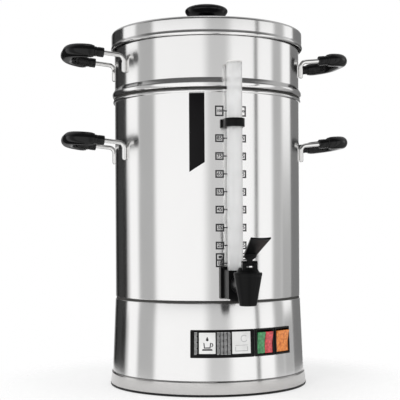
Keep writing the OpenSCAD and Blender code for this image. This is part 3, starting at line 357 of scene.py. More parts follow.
@dataclass(frozen=True)
class Lens(Finish):
    """Tinted switch lens with prisms moulded behind its skin, and painted highlights at the prisms' middles
    and painted shade at their edges in its colour.
    """

    glow: float = 0.0
    prisms: float = 290.0
    facet_depth: float = 0.0002
    facet_strength: float = 0.12
    clouds: Point3 = (90.0, 90.0, 90.0)
    # Colour at each prism's middle and at its edge: painted highlight and painted shade.
    tints: Pair = (1.7, 0.6)
    spread: Pair = (0.8, 1.3)

    def build(self) -> bpy.types.Material:
        """Makes the lens's material.

        Returns:
            The material.
        """
        board = NodeBoard(self.name)
        shader = board.node("ShaderNodeBsdfPrincipled", IOR=1.49, Coat_Weight=0.6, Coat_Roughness=0.05)
        place = board.node("ShaderNodeTexCoord")
        prism = board.node("ShaderNodeTexVoronoi", Scale=self.prisms, feature="F1")
        board.wire(place.outputs["Object"], prism.inputs["Vector"])
        # Painted highlights and shade: the colour is lighter at each prism's middle and darker at its edge.
        painted_light_ramp = board.node("ShaderNodeValToRGB")
        for element, amount in zip(painted_light_ramp.color_ramp.elements, self.tints):
            element.color = (*self.shaded(amount), 1.0)
        board.wire(prism.outputs["Distance"], painted_light_ramp.inputs["Fac"])
        board.wire(painted_light_ramp.outputs["Color"], shader.inputs["Base Color"])
        cloud = board.grain(self.clouds)
        board.wire(self.roughened(board, cloud, self.spread), shader.inputs["Roughness"])
        facets = board.relief(prism.outputs["Distance"], self.facet_depth, self.facet_strength)
        board.wire(facets, shader.inputs["Normal"])
        # The red and orange lenses glow faintly in the same pattern of painted highlights.
        if self.glow > 0:
            board.wire(painted_light_ramp.outputs["Color"], shader.inputs["Emission Color"])
            shader.inputs["Emission Strength"].default_value = self.glow
        return board.surface(shader)


@dataclass(frozen=True)
class Clear(Finish):
    """Clear tube with faint drawing lines along it."""

    smears: Point3 = (90.0, 90.0, 5.0)
    streaks: Point3 = (300.0, 300.0, 4.0)
    streak_depth: float = 0.00001
    streak_strength: float = 0.02
    tints: Pair = (0.99, 1.0)
    spread: Pair = (0.4, 1.6)

    def build(self) -> bpy.types.Material:
        """Makes the clear material.

        Returns:
            The material.
        """
        board = NodeBoard(self.name)
        shader = board.node("ShaderNodeBsdfPrincipled", Transmission_Weight=0.6, IOR=1.25)
        smear = board.grain(self.smears)
        board.wire(self.tinted(board, smear, self.tints), shader.inputs["Base Color"])
        board.wire(self.roughened(board, smear, self.spread), shader.inputs["Roughness"])
        streak = board.grain(self.streaks, detail=2.0)
        bump = board.relief(streak, self.streak_depth, self.streak_strength)
        board.wire(bump, shader.inputs["Normal"])
        return board.surface(shader)


MIRROR_STEEL = Metal("mirror_steel", (0.93, 0.925, 0.92), 0.16, Grain.HOOP, lines=0.03, stretch=0.75)
WIRE_STEEL = Metal("wire_steel", (0.9, 0.895, 0.885), 0.13, Grain.EVEN, lines=0.03)
FOOT_STEEL = Metal("foot_steel", (0.64, 0.63, 0.62), 0.16, Grain.HOOP, lines=0.06, stretch=0.6)
SATIN_STEEL = Metal("satin_steel", (0.66, 0.655, 0.65), 0.32, Grain.HOOP, lines=0.08)
CAST_ALUMINIUM = Metal("cast_aluminium", (0.72, 0.72, 0.73), 0.45, Grain.EVEN, lines=0.3)
BRASS = Metal("brass_fittings", (0.75, 0.55, 0.24), 0.28, Grain.EVEN, lines=0.06)
GRIP_BLACK = Plastic("grip_black", (0.004, 0.004, 0.0043), 0.14, grain=900.0, depth=0.00003,
                     strength=0.08, sheen=0.3)
KNOB_BLACK = Plastic("knob_black", (0.003, 0.003, 0.0033), 0.1, grain=700.0, depth=0.00002,
                     strength=0.05, sheen=0.3)
TAP_BLACK = Plastic("tap_black", (0.004, 0.004, 0.0043), 0.32, grain=2200.0, depth=0.00005,
                    strength=0.2, sheen=0.14)
TRIM_BLACK = Plastic("trim_black", (0.008, 0.008, 0.008), 0.45, grain=1600.0, depth=0.00006,
                     strength=0.25, sheen=0.25)
PLATE_BLACK = Plastic("plate_black", (0.005, 0.0045, 0.0052), 0.36, grain=2600.0, depth=0.00002,
                      strength=0.1, sheen=0.14)
GASKET_RUBBER = Plastic("gasket_rubber", (0.045, 0.043, 0.04), 0.62, grain=1500.0, depth=0.00006,
                        strength=0.35)
SEAL_RUBBER = Plastic("seal_rubber", (0.05, 0.05, 0.052), 0.55, grain=1500.0, depth=0.00005, strength=0.3)
SILICONE = Plastic("silicone_red", (0.3, 0.1, 0.05), 0.4, grain=1400.0, depth=0.00004, strength=0.2)
CAP_WHITE = Plastic("cap_white", (0.8, 0.79, 0.77), 0.35, grain=1600.0, depth=0.00003, strength=0.15)
CERAMIC = Plastic("ceramic_white", (0.78, 0.76, 0.71), 0.5, grain=1200.0, depth=0.00006, strength=0.3)
LEAD_SLEEVE = Plastic("lead_sleeve", (0.4, 0.05, 0.04), 0.5, grain=2500.0, depth=0.00008, strength=0.4)
INK_WHITE = Plastic("ink_white", (0.86, 0.86, 0.85), 0.45, grain=3000.0, depth=0.00001, strength=0.1)
INK_GREY = Plastic("ink_grey", (0.5, 0.5, 0.5), 0.45, grain=3000.0, depth=0.00001, strength=0.1)
INK_BLACK = Plastic("ink_black", (0.022, 0.022, 0.024), 0.45, grain=3000.0, depth=0.00001, strength=0.1)
LENS_GREEN = Lens("lens_green", (0.045, 0.26, 0.09), 0.22, glow=0.0)
LENS_RED = Lens("lens_red", (0.62, 0.06, 0.07), 0.22, glow=0.05)
LENS_ORANGE = Lens("lens_orange", (0.86, 0.2, 0.035), 0.22, glow=0.12)
TUBE_CLEAR = Clear("tube_clear", (1.0, 1.0, 1.0), 0.08)


def arc(centre: Point, radius: float, start: float, end: float, steps: int = 12) -> list[Point]:
    """Points of an arc.

    Args:
        centre: Centre of the arc.
        radius: Its radius.
        start: First angle in degrees.
        end: Last angle in degrees.
        steps: Number of chords.

    Returns:
        The points from the first angle to the last.
    """
    turns = [math.radians(start + (end - start) * i / steps) for i in range(steps + 1)]
    return [(centre[0] + radius * math.cos(t), centre[1] + radius * math.sin(t)) for t in turns]


def band(centre: Point, radii: Pair, start: float, end: float, steps: int) -> list[Point]:
    """Part of a flat ring.

    Args:
        centre: Centre of the ring.
        radii: Its outer and inner radius.
        start: First angle in degrees.
        end: Last angle in degrees.
        steps: Number of chords.

    Returns:
        Its outline, along the outside and back along the inside.
    """
    outer, inner = (arc(centre, radius, start, end, steps) for radius in radii)
    return [*outer, *reversed(inner)]


def squared(angle: float, power: float = 0.6) -> Point:
    """Point of a unit disc that is squared off.

    Args:
        angle: Angle of the point in radians.
        power: How far it is squared off: 1 is a disc.

    Returns:
        The point.
    """
    c, s = math.cos(angle), math.sin(angle)
    return (math.copysign(abs(c) ** power, c), math.copysign(abs(s) ** power, s))


def spline(points: Sequence[Sequence[float]], steps: int = 6) -> list[tuple[float, ...]]:
    """Smooth curve through points.

    Args:
        points: Points of two or three numbers.
        steps: Chords between neighbouring points.

    Returns:
        The points of the curve.
    """
    out: list[tuple[float, ...]] = []
    last = len(points) - 1
    for i in range(last):
        a, b, c, d = points[max(i - 1, 0)], points[i], points[i + 1], points[min(i + 2, last)]
        for k in range(steps):
            t = k / steps
            out.append(tuple(
                0.5 * (2 * q + (r - p) * t + (2 * p - 5 * q + 4 * r - s) * t * t
                       + (3 * q - p - 3 * r + s) * t ** 3)
                for p, q, r, s in zip(a, b, c, d)
            ))
    out.append(tuple(points[last]))
    return out


def rounded(half_w: float, half_h: float, corner: float, steps: int = 4) -> list[Point]:
    """Rectangle with rounded corners round the origin.

    Args:
        half_w: Half its width.
        half_h: Half its height.
        corner: Radius of its corners.
        steps: Chords of each corner.

    Returns:
        Its points, from the right side onwards.
    """
    x, y = half_w - corner, half_h - corner
    return [*arc((x, y), corner, 0, 90, steps), *arc((-x, y), corner, 90, 180, steps),
            *arc((-x, -y), corner, 180, 270, steps), *arc((x, -y), corner, 270, 360, steps)]


def bead_flare(centre: Point, radius: float, lean: float, wall: float) -> list[Point]:
    """Wall points above the short cone that runs from a wall down to a bead.

    Args:
        centre: Centre of the bead's section.
        radius: Radius of the bead's section.
        lean: Angle of the cone from the upright in degrees.
        wall: Radius of the wall above the bead.

    Returns:
        Two points of the wall, from the top down, of which the second is where the cone begins.
    """
    step = 0.7
    a = math.radians(lean)
    start = centre[1] + radius * math.sin(a) + (centre[0] + radius * math.cos(a) - wall) / math.tan(a)
    return [(wall, start + step), (wall, start)]


def as_drawn(u: float, v: float, w: float) -> Point3:
    """Returns a point where it was drawn."""
    return (u, v, w)


def from_side(y: float, z: float, x: float) -> Point3:
    """Returns a point drawn in a side view, with Y towards the tap's user."""
    return (x, -y, z)


def settle(form: Form) -> None:
    """Sorts a form's points and faces, because roundings and cuts leave them in an order that varies by run.

    Args:
        form: The form.
    """
    spots = sorted(form.verts, key=lambda v: tuple(v.co))
    for index, spot in enumerate(spots):
        spot.index = index
    places = [tuple(spot.co) for spot in spots]
    # A triangle may begin at any corner, a quad at two of them, and others only where they do.
    steps = {3: 1, 4: 2}
    rings = []
    for face in form.faces:
        ring = [v.index for v in face.verts]
        first = ring.index(min(ring[::steps.get(len(ring), len(ring))]))
        rings.append(ring[first:] + ring[:first])
    form.clear()
    fresh = [form.verts.new(place) for place in places]
    for ring in sorted(rings):
        form.faces.new([fresh[index] for index in ring])
    form.normal_update()


def soften(form: Form, angle: float, width: float, segments: int) -> None:
    """Rounds the sharp edges of a form.

    Args:
        form: The form.
        angle: Angle in degrees above which an edge is sharp.
        width: Width of the rounding.
        segments: Steps of the rounding.
    """
    limit = math.radians(angle)
    sharp = [e for e in form.edges if len(e.link_faces) == 2 and e.calc_face_angle() > limit]
    bmesh.ops.bevel(form, geom=sharp, offset=width, segments=segments, profile=0.5, affect="EDGES",
                    clamp_overlap=True)
    settle(form)


def merge(whole: Form, part: Form) -> None:
    """Adds a form to another one.

    Args:
        whole: The form that grows.
        part: The form that is used up.
    """
    sheet = bpy.data.meshes.new("part")
    part.to_mesh(sheet)
    part.free()
    whole.from_mesh(sheet)
    bpy.data.meshes.remove(sheet)


class Shell:
    """A mesh in the making, in millimetres."""

    def __init__(self) -> None:
        """Starts with no points."""
        self.points: list[Point3] = []
        self.faces: list[tuple[int, ...]] = []

    def lathe(self, outline: Sequence[Point], centre: Point = (0.0, 0.0), steps: int = HOOP) -> "Shell":
        """Turns a closed outline of radius and height about a vertical axis.

        Args:
            outline: Corner points; those on the axis close the form.
            centre: X and Y of the axis.
            steps: Number of flats round the axis.

        Returns:
            The shell itself.
        """
        rings: list[list[int]] = []
        for r, z in outline:
            start = len(self.points)
            if r < ON_AXIS:
                self.points.append((centre[0], centre[1], z))
                rings.append([start] * steps)
                continue
            for k in range(steps):
                a = 2 * math.pi * k / steps
                self.points.append((centre[0] + r * math.cos(a), centre[1] + r * math.sin(a), z))
            rings.append(list(range(start, start + steps)))
        closed = min(r for r, _ in outline) > ON_AXIS
        for i in range(len(rings) if closed else len(rings) - 1):
            low, high = rings[i], rings[(i + 1) % len(rings)]
            for k in range(steps):
                n = (k + 1) % steps
                ring = tuple(dict.fromkeys((low[k], low[n], high[n], high[k])))
                if len(ring) > 2:
                    self.faces.append(ring)
        return self

    def sweep(self, path: Sequence[Point3], radii: Sequence[float], sides: int = 28) -> "Shell":
        """Sweeps a disc along a path.

        Args:
            path: Points of the path.
            radii: Radius at each point.
            sides: Number of flats round the path.

        Returns:
            The shell itself.
        """
        spots = [Vector(p) for p in path]
        end = len(spots) - 1
        heads = [(spots[min(i + 1, end)] - spots[max(i - 1, 0)]).normalized() for i in range(end + 1)]
        across = heads[0].orthogonal().normalized()
        start = len(self.points)
        for spot, head, radius in zip(spots, heads, radii):
            across = (across - head * across.dot(head)).normalized()
            up = head.cross(across)
            for k in range(sides):
                a = 2 * math.pi * k / sides
                self.points.append(tuple(spot + radius * (math.cos(a) * across + math.sin(a) * up)))
        for i in range(end):
            for k in range(sides):
                n = (k + 1) % sides
                low, high = start + i * sides, start + (i + 1) * sides
                self.faces.append((low + k, low + n, high + n, high + k))
        self.faces.append(tuple(start + k for k in reversed(range(sides))))
        self.faces.append(tuple(start + end * sides + k for k in range(sides)))
        return self

    def prism(self, outline: Sequence[Point], low: float, high: float, place: Place = as_drawn) -> "Shell":
        """Adds a prism whose points are put in place one by one.

        Args:
            outline: Corner points of the base.
            low: Height of the base.
            high: Height of the top.
            place: Turns base coordinates and height into a point in space.

        Returns:
            The shell itself.
        """
        start, n = len(self.points), len(outline)
        self.points += [place(u, v, w) for w in (low, high) for u, v in outline]
        self.faces.append(tuple(start + k for k in reversed(range(n))))
        self.faces.append(tuple(start + n + k for k in range(n)))
        for k in range(n):
            m = (k + 1) % n
            self.faces.append((start + k, start + m, start + n + m, start + n + k))
        return self

    def loft(self, sections: Sequence[Sequence[Point3]]) -> "Shell":
        """Joins closed sections of equal count, with flat ends.

        Args:
            sections: Rings of points, in order.

        Returns:
            The shell itself.
        """
        n, starts = len(sections[0]), []
        for ring in sections:
            starts.append(len(self.points))
            self.points += [tuple(p) for p in ring]
        for low, high in zip(starts, starts[1:]):
            for k in range(n):
                m = (k + 1) % n
                self.faces.append((low + k, low + m, high + m, high + k))
        self.faces.append(tuple(starts[0] + k for k in reversed(range(n))))
        self.faces.append(tuple(starts[-1] + k for k in range(n)))
        return self

    def mesh(self, bevel: float = 0.0, segments: int = 3) -> Form:
        """Returns the form as an editable mesh.

        Args:
            bevel: Width of the rounding of sharp edges.
            segments: Steps of that rounding.

        Returns:
            A mesh in millimetres with its faces turned outwards.
        """
        form = bmesh.new()
        spots = [form.verts.new(p) for p in self.points]
        for ring in self.faces:
            if len(set(ring)) > 2:
                form.faces.new([spots[i] for i in ring])
        bmesh.ops.remove_doubles(form, verts=form.verts, dist=WELD)
        bmesh.ops.recalc_face_normals(form, faces=form.faces)
        if bevel > 0:
            soften(form, angle=25, width=bevel, segments=segments)
        return form


class Bench:
    """Makes the pieces, gives them their finish and puts them on their bodies."""

    def __init__(self) -> None:
        """Starts with nothing made."""
        self.made: list[bpy.types.Object] = []

    def add(self, name: str, form: Form | Shell, body: Body, finish: Finish,
            replaces: Sequence[str] = (), slot: str = "", sharp: float = 32.0) -> bpy.types.Object:
        """Turns a form in millimetres into a finished piece.

        Args:
            name: Name of the piece.
            form: The form, which is used up.
            body: Body that the piece rides on.
            finish: Its finish.
            replaces: CAD nodes that it stands for.
            slot: Material slot of the record; not used.
            sharp: Angle in degrees above which an edge stays sharp.

        Returns:
            The piece.
        """
        form = form.mesh() if isinstance(form, Shell) else form
        bmesh.ops.scale(form, vec=(MM, MM, MM), verts=form.verts)
        mesh = bpy.data.meshes.new(name)
        form.to_mesh(mesh)
        form.free()
        mesh.polygons.foreach_set("use_smooth", [True] * len(mesh.polygons))
        mesh.set_sharp_from_angle(angle=math.radians(sharp))
        mesh.materials.append(finish.material())
        piece = bpy.data.objects.new(name, mesh)
        bpy.context.scene.collection.objects.link(piece)
        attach(piece, body.value)
        if replaces:
            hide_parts(*replaces)
        self.made.append(piece)
        LOG.info("%s rides on %s: %d faces, %s", name, body.value, len(mesh.polygons), finish.name)
        return piece

    def dress(self, finish: Finish, *nodes: str, round_off: float = 0.0) -> None:
        """Gives carried-over nodes a finish.

        Args:
            finish: The finish.
            nodes: Names of the nodes.
            round_off: Width of the rounding of their sharp edges in millimetres.
        """
        for name in nodes:
            node = frame["nodes"][name]
            node.data.materials.clear()
            node.data.materials.append(finish.material())
            if round_off > 0:
                edge = node.modifiers.new("round_off", "BEVEL")
                edge.width = round_off * MM
                edge.segments = 2
                edge.limit_method = "ANGLE"
                edge.angle_limit = math.radians(40)
            LOG.info("%s keeps its solid: %s", name, finish.name)


@dataclass
class Wall:
    """A wall that turns about the vessel's axis and may lean: where marks and plates lie."""

    radius: float
    height: float
    lean: float = 0.0

    def at(self, azimuth: float, z: float, out: float = 0.0) -> Point3:
        """Point on the wall.

        Args:
            azimuth: Degrees from the tap, positive to the right.
            z: Height.
            out: Distance in front of the wall.

        Returns:
            The point.
        """
        r = self.radius + self.lean * (self.height - z) + out
        return (r * math.sin(math.radians(azimuth)), -r * math.cos(math.radians(azimuth)), z)

    def lay(self, flat: Form, azimuth: float, z: float, step: float = 2.0) -> Form:
        """Bends a flat form round the wall, with X along it, Y up and Z outwards.

        Args:
            flat: The form, round its own origin.
            azimuth: Azimuth of the form's origin.
            z: Height of the form's origin.
            step: Largest width left flat.

        Returns:
            The same form, bent.
        """
        low = min(v.co.x for v in flat.verts)
        high = max(v.co.x for v in flat.verts)
        for k in range(1, int((high - low) / step) + 1):
            everything = [*flat.verts, *flat.edges, *flat.faces]
            bmesh.ops.bisect_plane(flat, geom=everything, plane_co=(low + k * step, 0, 0),
                                   plane_no=(1, 0, 0))
        settle(flat)
        for v in flat.verts:
            turn = math.degrees(v.co.x / self.radius)
            v.co = Vector(self.at(azimuth + turn, z + v.co.y, v.co.z))
        return flat


def corners_of(bar: Bar) -> list[Point]:
    """Returns the corners of a rectangle given by its left, bottom, right and top."""
    x0, y0, x1, y1 = bar
    return [(x0, y0), (x1, y0), (x1, y1), (x0, y1)]


def flat_bars(bars: Sequence[Bar], low: float, high: float) -> Shell:
    """Flat rectangles of one thickness.

    Args:
        bars: Left, bottom, right and top of each.
        low: Height of their backs.
        high: Height of their faces.

    Returns:
        The shell.
    """
    shell = Shell()
    for bar in bars:
        shell.prism(corners_of(bar), low, high)
    return shell


def digits(text: str, size: float, thickness: float) -> Form:
    """Plain numerals as a flat form round their middle.

    Args:
        text: The numerals.
        size: Height of the type.
        thickness: Thickness of the print.

    Returns:
        The form.
    """
    curve = bpy.data.curves.new("numeral", "FONT")
    curve.body = text
    curve.size = size
    curve.extrude = thickness / 2
    curve.offset = 0.03 * size
    curve.align_x = "CENTER"
    curve.align_y = "CENTER"
    curve.resolution_u = 3
    sample = bpy.data.objects.new("numeral", curve)
    mesh = sample.to_mesh()
    form = bmesh.new()
    form.from_mesh(mesh)
    sample.to_mesh_clear()
    bpy.data.objects.remove(sample)
    bpy.data.curves.remove(curve)
    bmesh.ops.remove_doubles(form, verts=form.verts, dist=WELD)
    bmesh.ops.translate(form, vec=(0, 0, thickness / 2), verts=form.verts)
    return form


@dataclass(frozen=True)
class Window:
    """An opening of the skirt: azimuth and height of its middle, half its angle and half its height."""

    azimuth: float
    z: float
    half_turn: float
    half_h: float

    def edges(self) -> list[float]:
        """Returns the azimuths of the two upright edges."""
        return [(self.azimuth - self.half_turn) % 360, (self.azimuth + self.half_turn) % 360]

    def holds(self, turn: float, z: float) -> bool:
        """Tells whether a place of the skirt, given by azimuth and height, lies in the opening."""
        aside = abs((turn - self.azimuth + 180) % 360 - 180)
        return aside < self.half_turn and abs(z - self.z) < self.half_h


@dataclass
class Stand:
    """Base of the urn: edge trim, foot ring, conical skirt and what is inside it."""

    bench: Bench
    foot_r: float = 137.5
    foot_low: float = field(default_factory=lambda: lowest("foot_ring"))
    skirt_low: float = field(default_factory=lambda: highest("foot_ring"))
    skirt_high: float = field(default_factory=lambda: highest("base_skirt"))
    skirt_r: float = 130.4
    flare: float = 4.2
    sheet: float = SHEET
    trim_w: float = 7.7
    ring_in: float = 120.0
    ring_t: float = 1.2
    flange_out: float = 129.35
    flange_in: float = 118.0
    panel_z: float = field(default_factory=lambda: middle("panel_plate"))
    double_azimuth: float = field(default_factory=lambda: switch_azimuth("green_press"))
    single_azimuth: float = field(default_factory=lambda: switch_azimuth("orange_press"))
    edge_soft: float = 0.25
    switch_hole: Pair = (14.5, 17.2)
    inlet_hole: Pair = (13.7, 10.7)

    def windows(self) -> list[Window]:
        """Lists the windows of the skirt.

        Returns:
            Those of the two switches and that of the inlet.
        """
        places = [(self.double_azimuth, self.panel_z, *self.switch_hole),
                  (self.single_azimuth, self.panel_z, *self.switch_hole),
                  (180.0, middle("power_inlet"), *self.inlet_hole)]
        return [Window(azimuth, z, math.degrees(math.asin(half_w / self.radius(z))), half_h)
                for azimuth, z, half_w, half_h in places]

    def wall(self) -> Wall:
        """Returns the skirt's wall."""
        return Wall(self.skirt_r, self.skirt_high, self.flare / (self.skirt_high - self.skirt_low))

    def radius(self, z: float) -> float:
        """Returns the skirt's outside radius at a height."""
        return self.skirt_r + self.flare * (self.skirt_high - z) / (self.skirt_high - self.skirt_low)

    def trim_and_foot(self) -> None:
        """Builds the black edge trim and the duller foot ring."""
        r, f, t = self.foot_r, self.foot_low, self.skirt_low
        # Along the ground to the rounded outer edge and back on top.
        self.bench.add("edge_trim", Shell().lathe([
            (r - self.trim_w, 0), (r - 0.5, 0), *arc((r - 0.5, 0.8), 0.8, -90, 0, 5), (r + 0.3, f - 0.4),
            *arc((r - 0.1, f - 0.4), 0.4, 0, 90, 4), (r - self.trim_w, f),
        ]), Body.BASE, TRIM_BLACK, ["foot_edge_trim"], "black_matte")
        top, inner, under = r - 2.2, self.ring_in, t - self.ring_t
        # Up the outer face, over the rounded top, inwards, and back along the underside.
        self.bench.add("foot_band", Shell().lathe([
            (r - 0.1, f), (r, f + 0.5), (r - 1.5, t - 2.6), *arc((r - 3.3, t - 2.1), 1.95, 15, 85, 8),
            (top - 1.2, t), (inner, t), (inner, under), (top - 1.0, under), (r - 2.5, t - 4.0),
            (r - 1.1, f),
        ]), Body.BASE, FOOT_STEEL, ["foot_ring"], "satin_steel")

    def grid(self, windows: Sequence[Window]) -> tuple[list[float], list[float]]:
        """Divides the skirt so that the edges of its windows lie on lines of a grid.

        Args:
            windows: The windows.

        Returns:
            Azimuths and heights of the lines.
        """
        turns = [360.0 * k / HOOP for k in range(HOOP)]
        levels = [self.skirt_low + 0.25, self.skirt_low + 0.6, self.skirt_high - 1.2, self.skirt_high - 0.4]
        near = 0.5
        # Upright lines near the edge of a window give way to it.
        for window in windows:
            edges = window.edges()
            turns = [t for t in turns if min(abs(t - e) for e in edges) > near] + edges
            levels += [window.z - window.half_h, window.z + window.half_h]
        return sorted(turns), sorted(set(levels))

    def skirt(self) -> None:
        """Builds the skirt as a thin shell with its windows left open."""
        windows = self.windows()
        turns, levels = self.grid(windows)
        count, rows = len(turns), len(levels)
        shell = Shell()
        wall = self.wall()
        for inner in (0, 1):
            for t in turns:
                for i, z in enumerate(levels):
                    soft = self.edge_soft if i in (0, rows - 1) and not inner else 0.0
                    shell.points.append(wall.at(t, z, -self.sheet if inner else -soft))
        skin = count * rows
        middles = [(a + ((b - a) % 360) / 2) % 360 for a, b in zip(turns, turns[1:] + turns[:1])]
        heights = [(a + b) / 2 for a, b in zip(levels, levels[1:])]
        kept = {(k, i) for k, turn in enumerate(middles) for i, z in enumerate(heights)
                if not any(window.holds(turn, z) for window in windows)}
        # Each kept field gets an outer and an inner face, and a rim where its neighbour is left open.
        for k, i in kept:
            n = (k + 1) % count
            a, b, c, d = k * rows + i, n * rows + i, n * rows + i + 1, k * rows + i + 1
            shell.faces += [(a, b, c, d), (skin + d, skin + c, skin + b, skin + a)]
            if ((k - 1) % count, i) not in kept:
                shell.faces.append((a, d, skin + d, skin + a))
            if (n, i) not in kept:
                shell.faces.append((c, b, skin + b, skin + c))
            if (k, i - 1) not in kept:
                shell.faces.append((b, a, skin + a, skin + b))
            if (k, i + 1) not in kept:
                shell.faces.append((d, c, skin + c, skin + d))
        top, under = self.skirt_high, self.skirt_high - self.sheet
        shell.lathe([(self.flange_out, under), (self.skirt_r - 0.4, top - 0.35), (self.skirt_r - 0.7, top),
                     (self.flange_in, top), (self.flange_in, under)])
        self.bench.add("base_shell", shell, Body.BASE, MIRROR_STEEL, ["base_skirt"], "polished_steel",
                       sharp=25.0)

    def inside(self) -> None:
        """Dresses what is under and inside the base."""
        self.bench.dress(GASKET_RUBBER, "base_gasket")
        self.bench.dress(SATIN_STEEL, "bottom_plate", "bottom_screws", "tie_stud", "heating_element")
        self.bench.dress(BRASS, "tie_nut", "switch_terminals")
        self.bench.dress(CAST_ALUMINIUM, "heat_plate")
        self.bench.dress(CERAMIC, "terminal_block", "thermostat", "safety_cutout", round_off=0.4)
        self.bench.dress(LEAD_SLEEVE, "lead_harness")

    def build(self) -> None:
        """Builds the base."""
        self.trim_and_foot()
        self.skirt()
        self.inside()


@dataclass
class Tank:
    """Polished tank with its sump, rolled rim and the bare upright plate on its wall."""

    bench: Bench
    radius: float = VESSEL_R
    sheet: float = SHEET
    sump_depth: float = 10.0
    sump_floor: float = field(default_factory=lambda: lowest("tank"))
    rim: float = field(default_factory=lambda: highest("tank"))
    rim_r: float = 2.4
    rim_out: float = 2.5
    sump_r: float = 30.0
    floor_t: float = 1.5
    corner_r: float = 3.0
    plate_azimuth: float = -19.8
    plate_w: float = 20.0
    plate_slant: float = 12.5
    plate_out: float = 0.85
    plate_low: float = field(default_factory=lambda: lowest("name_plate"))
    plate_high: float = field(default_factory=lambda: highest("name_plate"))

    def vessel(self) -> None:
        """Builds the vessel from one outline."""
        r, z, sump = self.radius, self.rim - self.rim_r, self.sump_floor
        bottom, inner, well = sump + self.sump_depth, r - self.sheet, self.sump_r + self.floor_t
        bend = bottom + self.floor_t + self.corner_r
        centre = r + self.rim_out - self.rim_r
        below = -math.degrees(math.acos((r - centre) / self.rim_r))
        above = math.degrees(math.acos((inner - centre) / self.rim_r))
        # Sump, bottom, wall and rolled rim outside, then down the inside.
        self.bench.add("tank_shell", Shell().lathe([
            (0, sump), (well - 1.0, sump), (well, sump + 1.0), (well, bottom),
            (r - 1.2, bottom), *arc((r - 1.2, bottom + 1.2), 1.2, -90, 0, 6),
            *arc((centre, z), self.rim_r, below, above, 28), (inner, self.rim - 6.0), (inner, bend),
            *arc((inner - self.corner_r, bend), self.corner_r, 0, -90, 6)[1:],
            (self.sump_r, bottom + self.floor_t), (self.sump_r, sump + self.floor_t),
            (0, sump + self.floor_t),
        ]), Body.BASE, MIRROR_STEEL, ["tank"], "polished_steel")

    def plate(self) -> None:
        """Builds the bare upright plate, with a slanted lower end and rounded edges."""
        w, h, c = self.plate_w / 2, (self.plate_high - self.plate_low) / 2, 0.8
        corners = [*arc((w - c, h - c), c, 0, 90, 5), *arc((c - w, h - c), c, 90, 180, 5), (-w, -h),
                   (w, self.plate_slant - h)]
        flat = Shell().prism(corners, FACE_GAP, self.plate_out).mesh(bevel=0.2, segments=2)
        z = (self.plate_low + self.plate_high) / 2
        self.bench.add("upright_plate", Wall(self.radius, 0.0).lay(flat, self.plate_azimuth, z), Body.BASE,
                       PLATE_BLACK, ["name_plate"], "black_matte")

    def build(self) -> None:
        """Builds the tank."""
        self.vessel()
        self.plate()


@dataclass
class FilterSection:
    """Lift-off filter section with its bead, seal and percolator parts."""

    bench: Bench
    radius: float = VESSEL_R
    sheet: float = SHEET
    spigot_low: float = field(default_factory=lambda: lowest("filter_body"))
    spigot_h: float = 14.0
    spigot_r: float = 127.8
    seat_w: float = 12.0
    lip_r: float = 1.6
    top: float = field(default_factory=lambda: highest("filter_body"))
    bead_r: float = 5.75
    bead_out: float = 3.35
    bead_lean: float = 30.0

    def build(self) -> None:
        """Builds the shell and dresses the parts inside."""
        r, t, foot = self.radius, self.sheet, self.spigot_low + self.spigot_h
        centre = (r + self.bead_out - self.bead_r, foot + self.bead_r)
        lip, spigot, under = self.lip_r, self.spigot_r, self.spigot_low
        seat = spigot - self.seat_w
        # Spigot, bead, flare, wall and lip outside, then down the inside to the seat.
        self.bench.add("filter_shell", Shell().lathe([
            (spigot, under), (spigot, foot), *arc(centre, self.bead_r, -87, self.bead_lean, 26),
            *reversed(bead_flare(centre, self.bead_r, self.bead_lean, r)), (r, foot + 28.0),
            (r, foot + 58.0), *arc((r - 0.4, self.top - lip), lip, -75.5, 112, 14), (r - t, foot + 12.5),
            (spigot - t, foot + 1.0), (spigot - t, under + t), (seat, under + t), (seat, under),
        ]), Body.FILTER, MIRROR_STEEL, ["filter_body"], "polished_steel")
        self.bench.dress(GASKET_RUBBER, "filter_seal")
        self.bench.dress(SATIN_STEEL, "filter_plate", "riser_tube", "pump_bell", "spray_head")


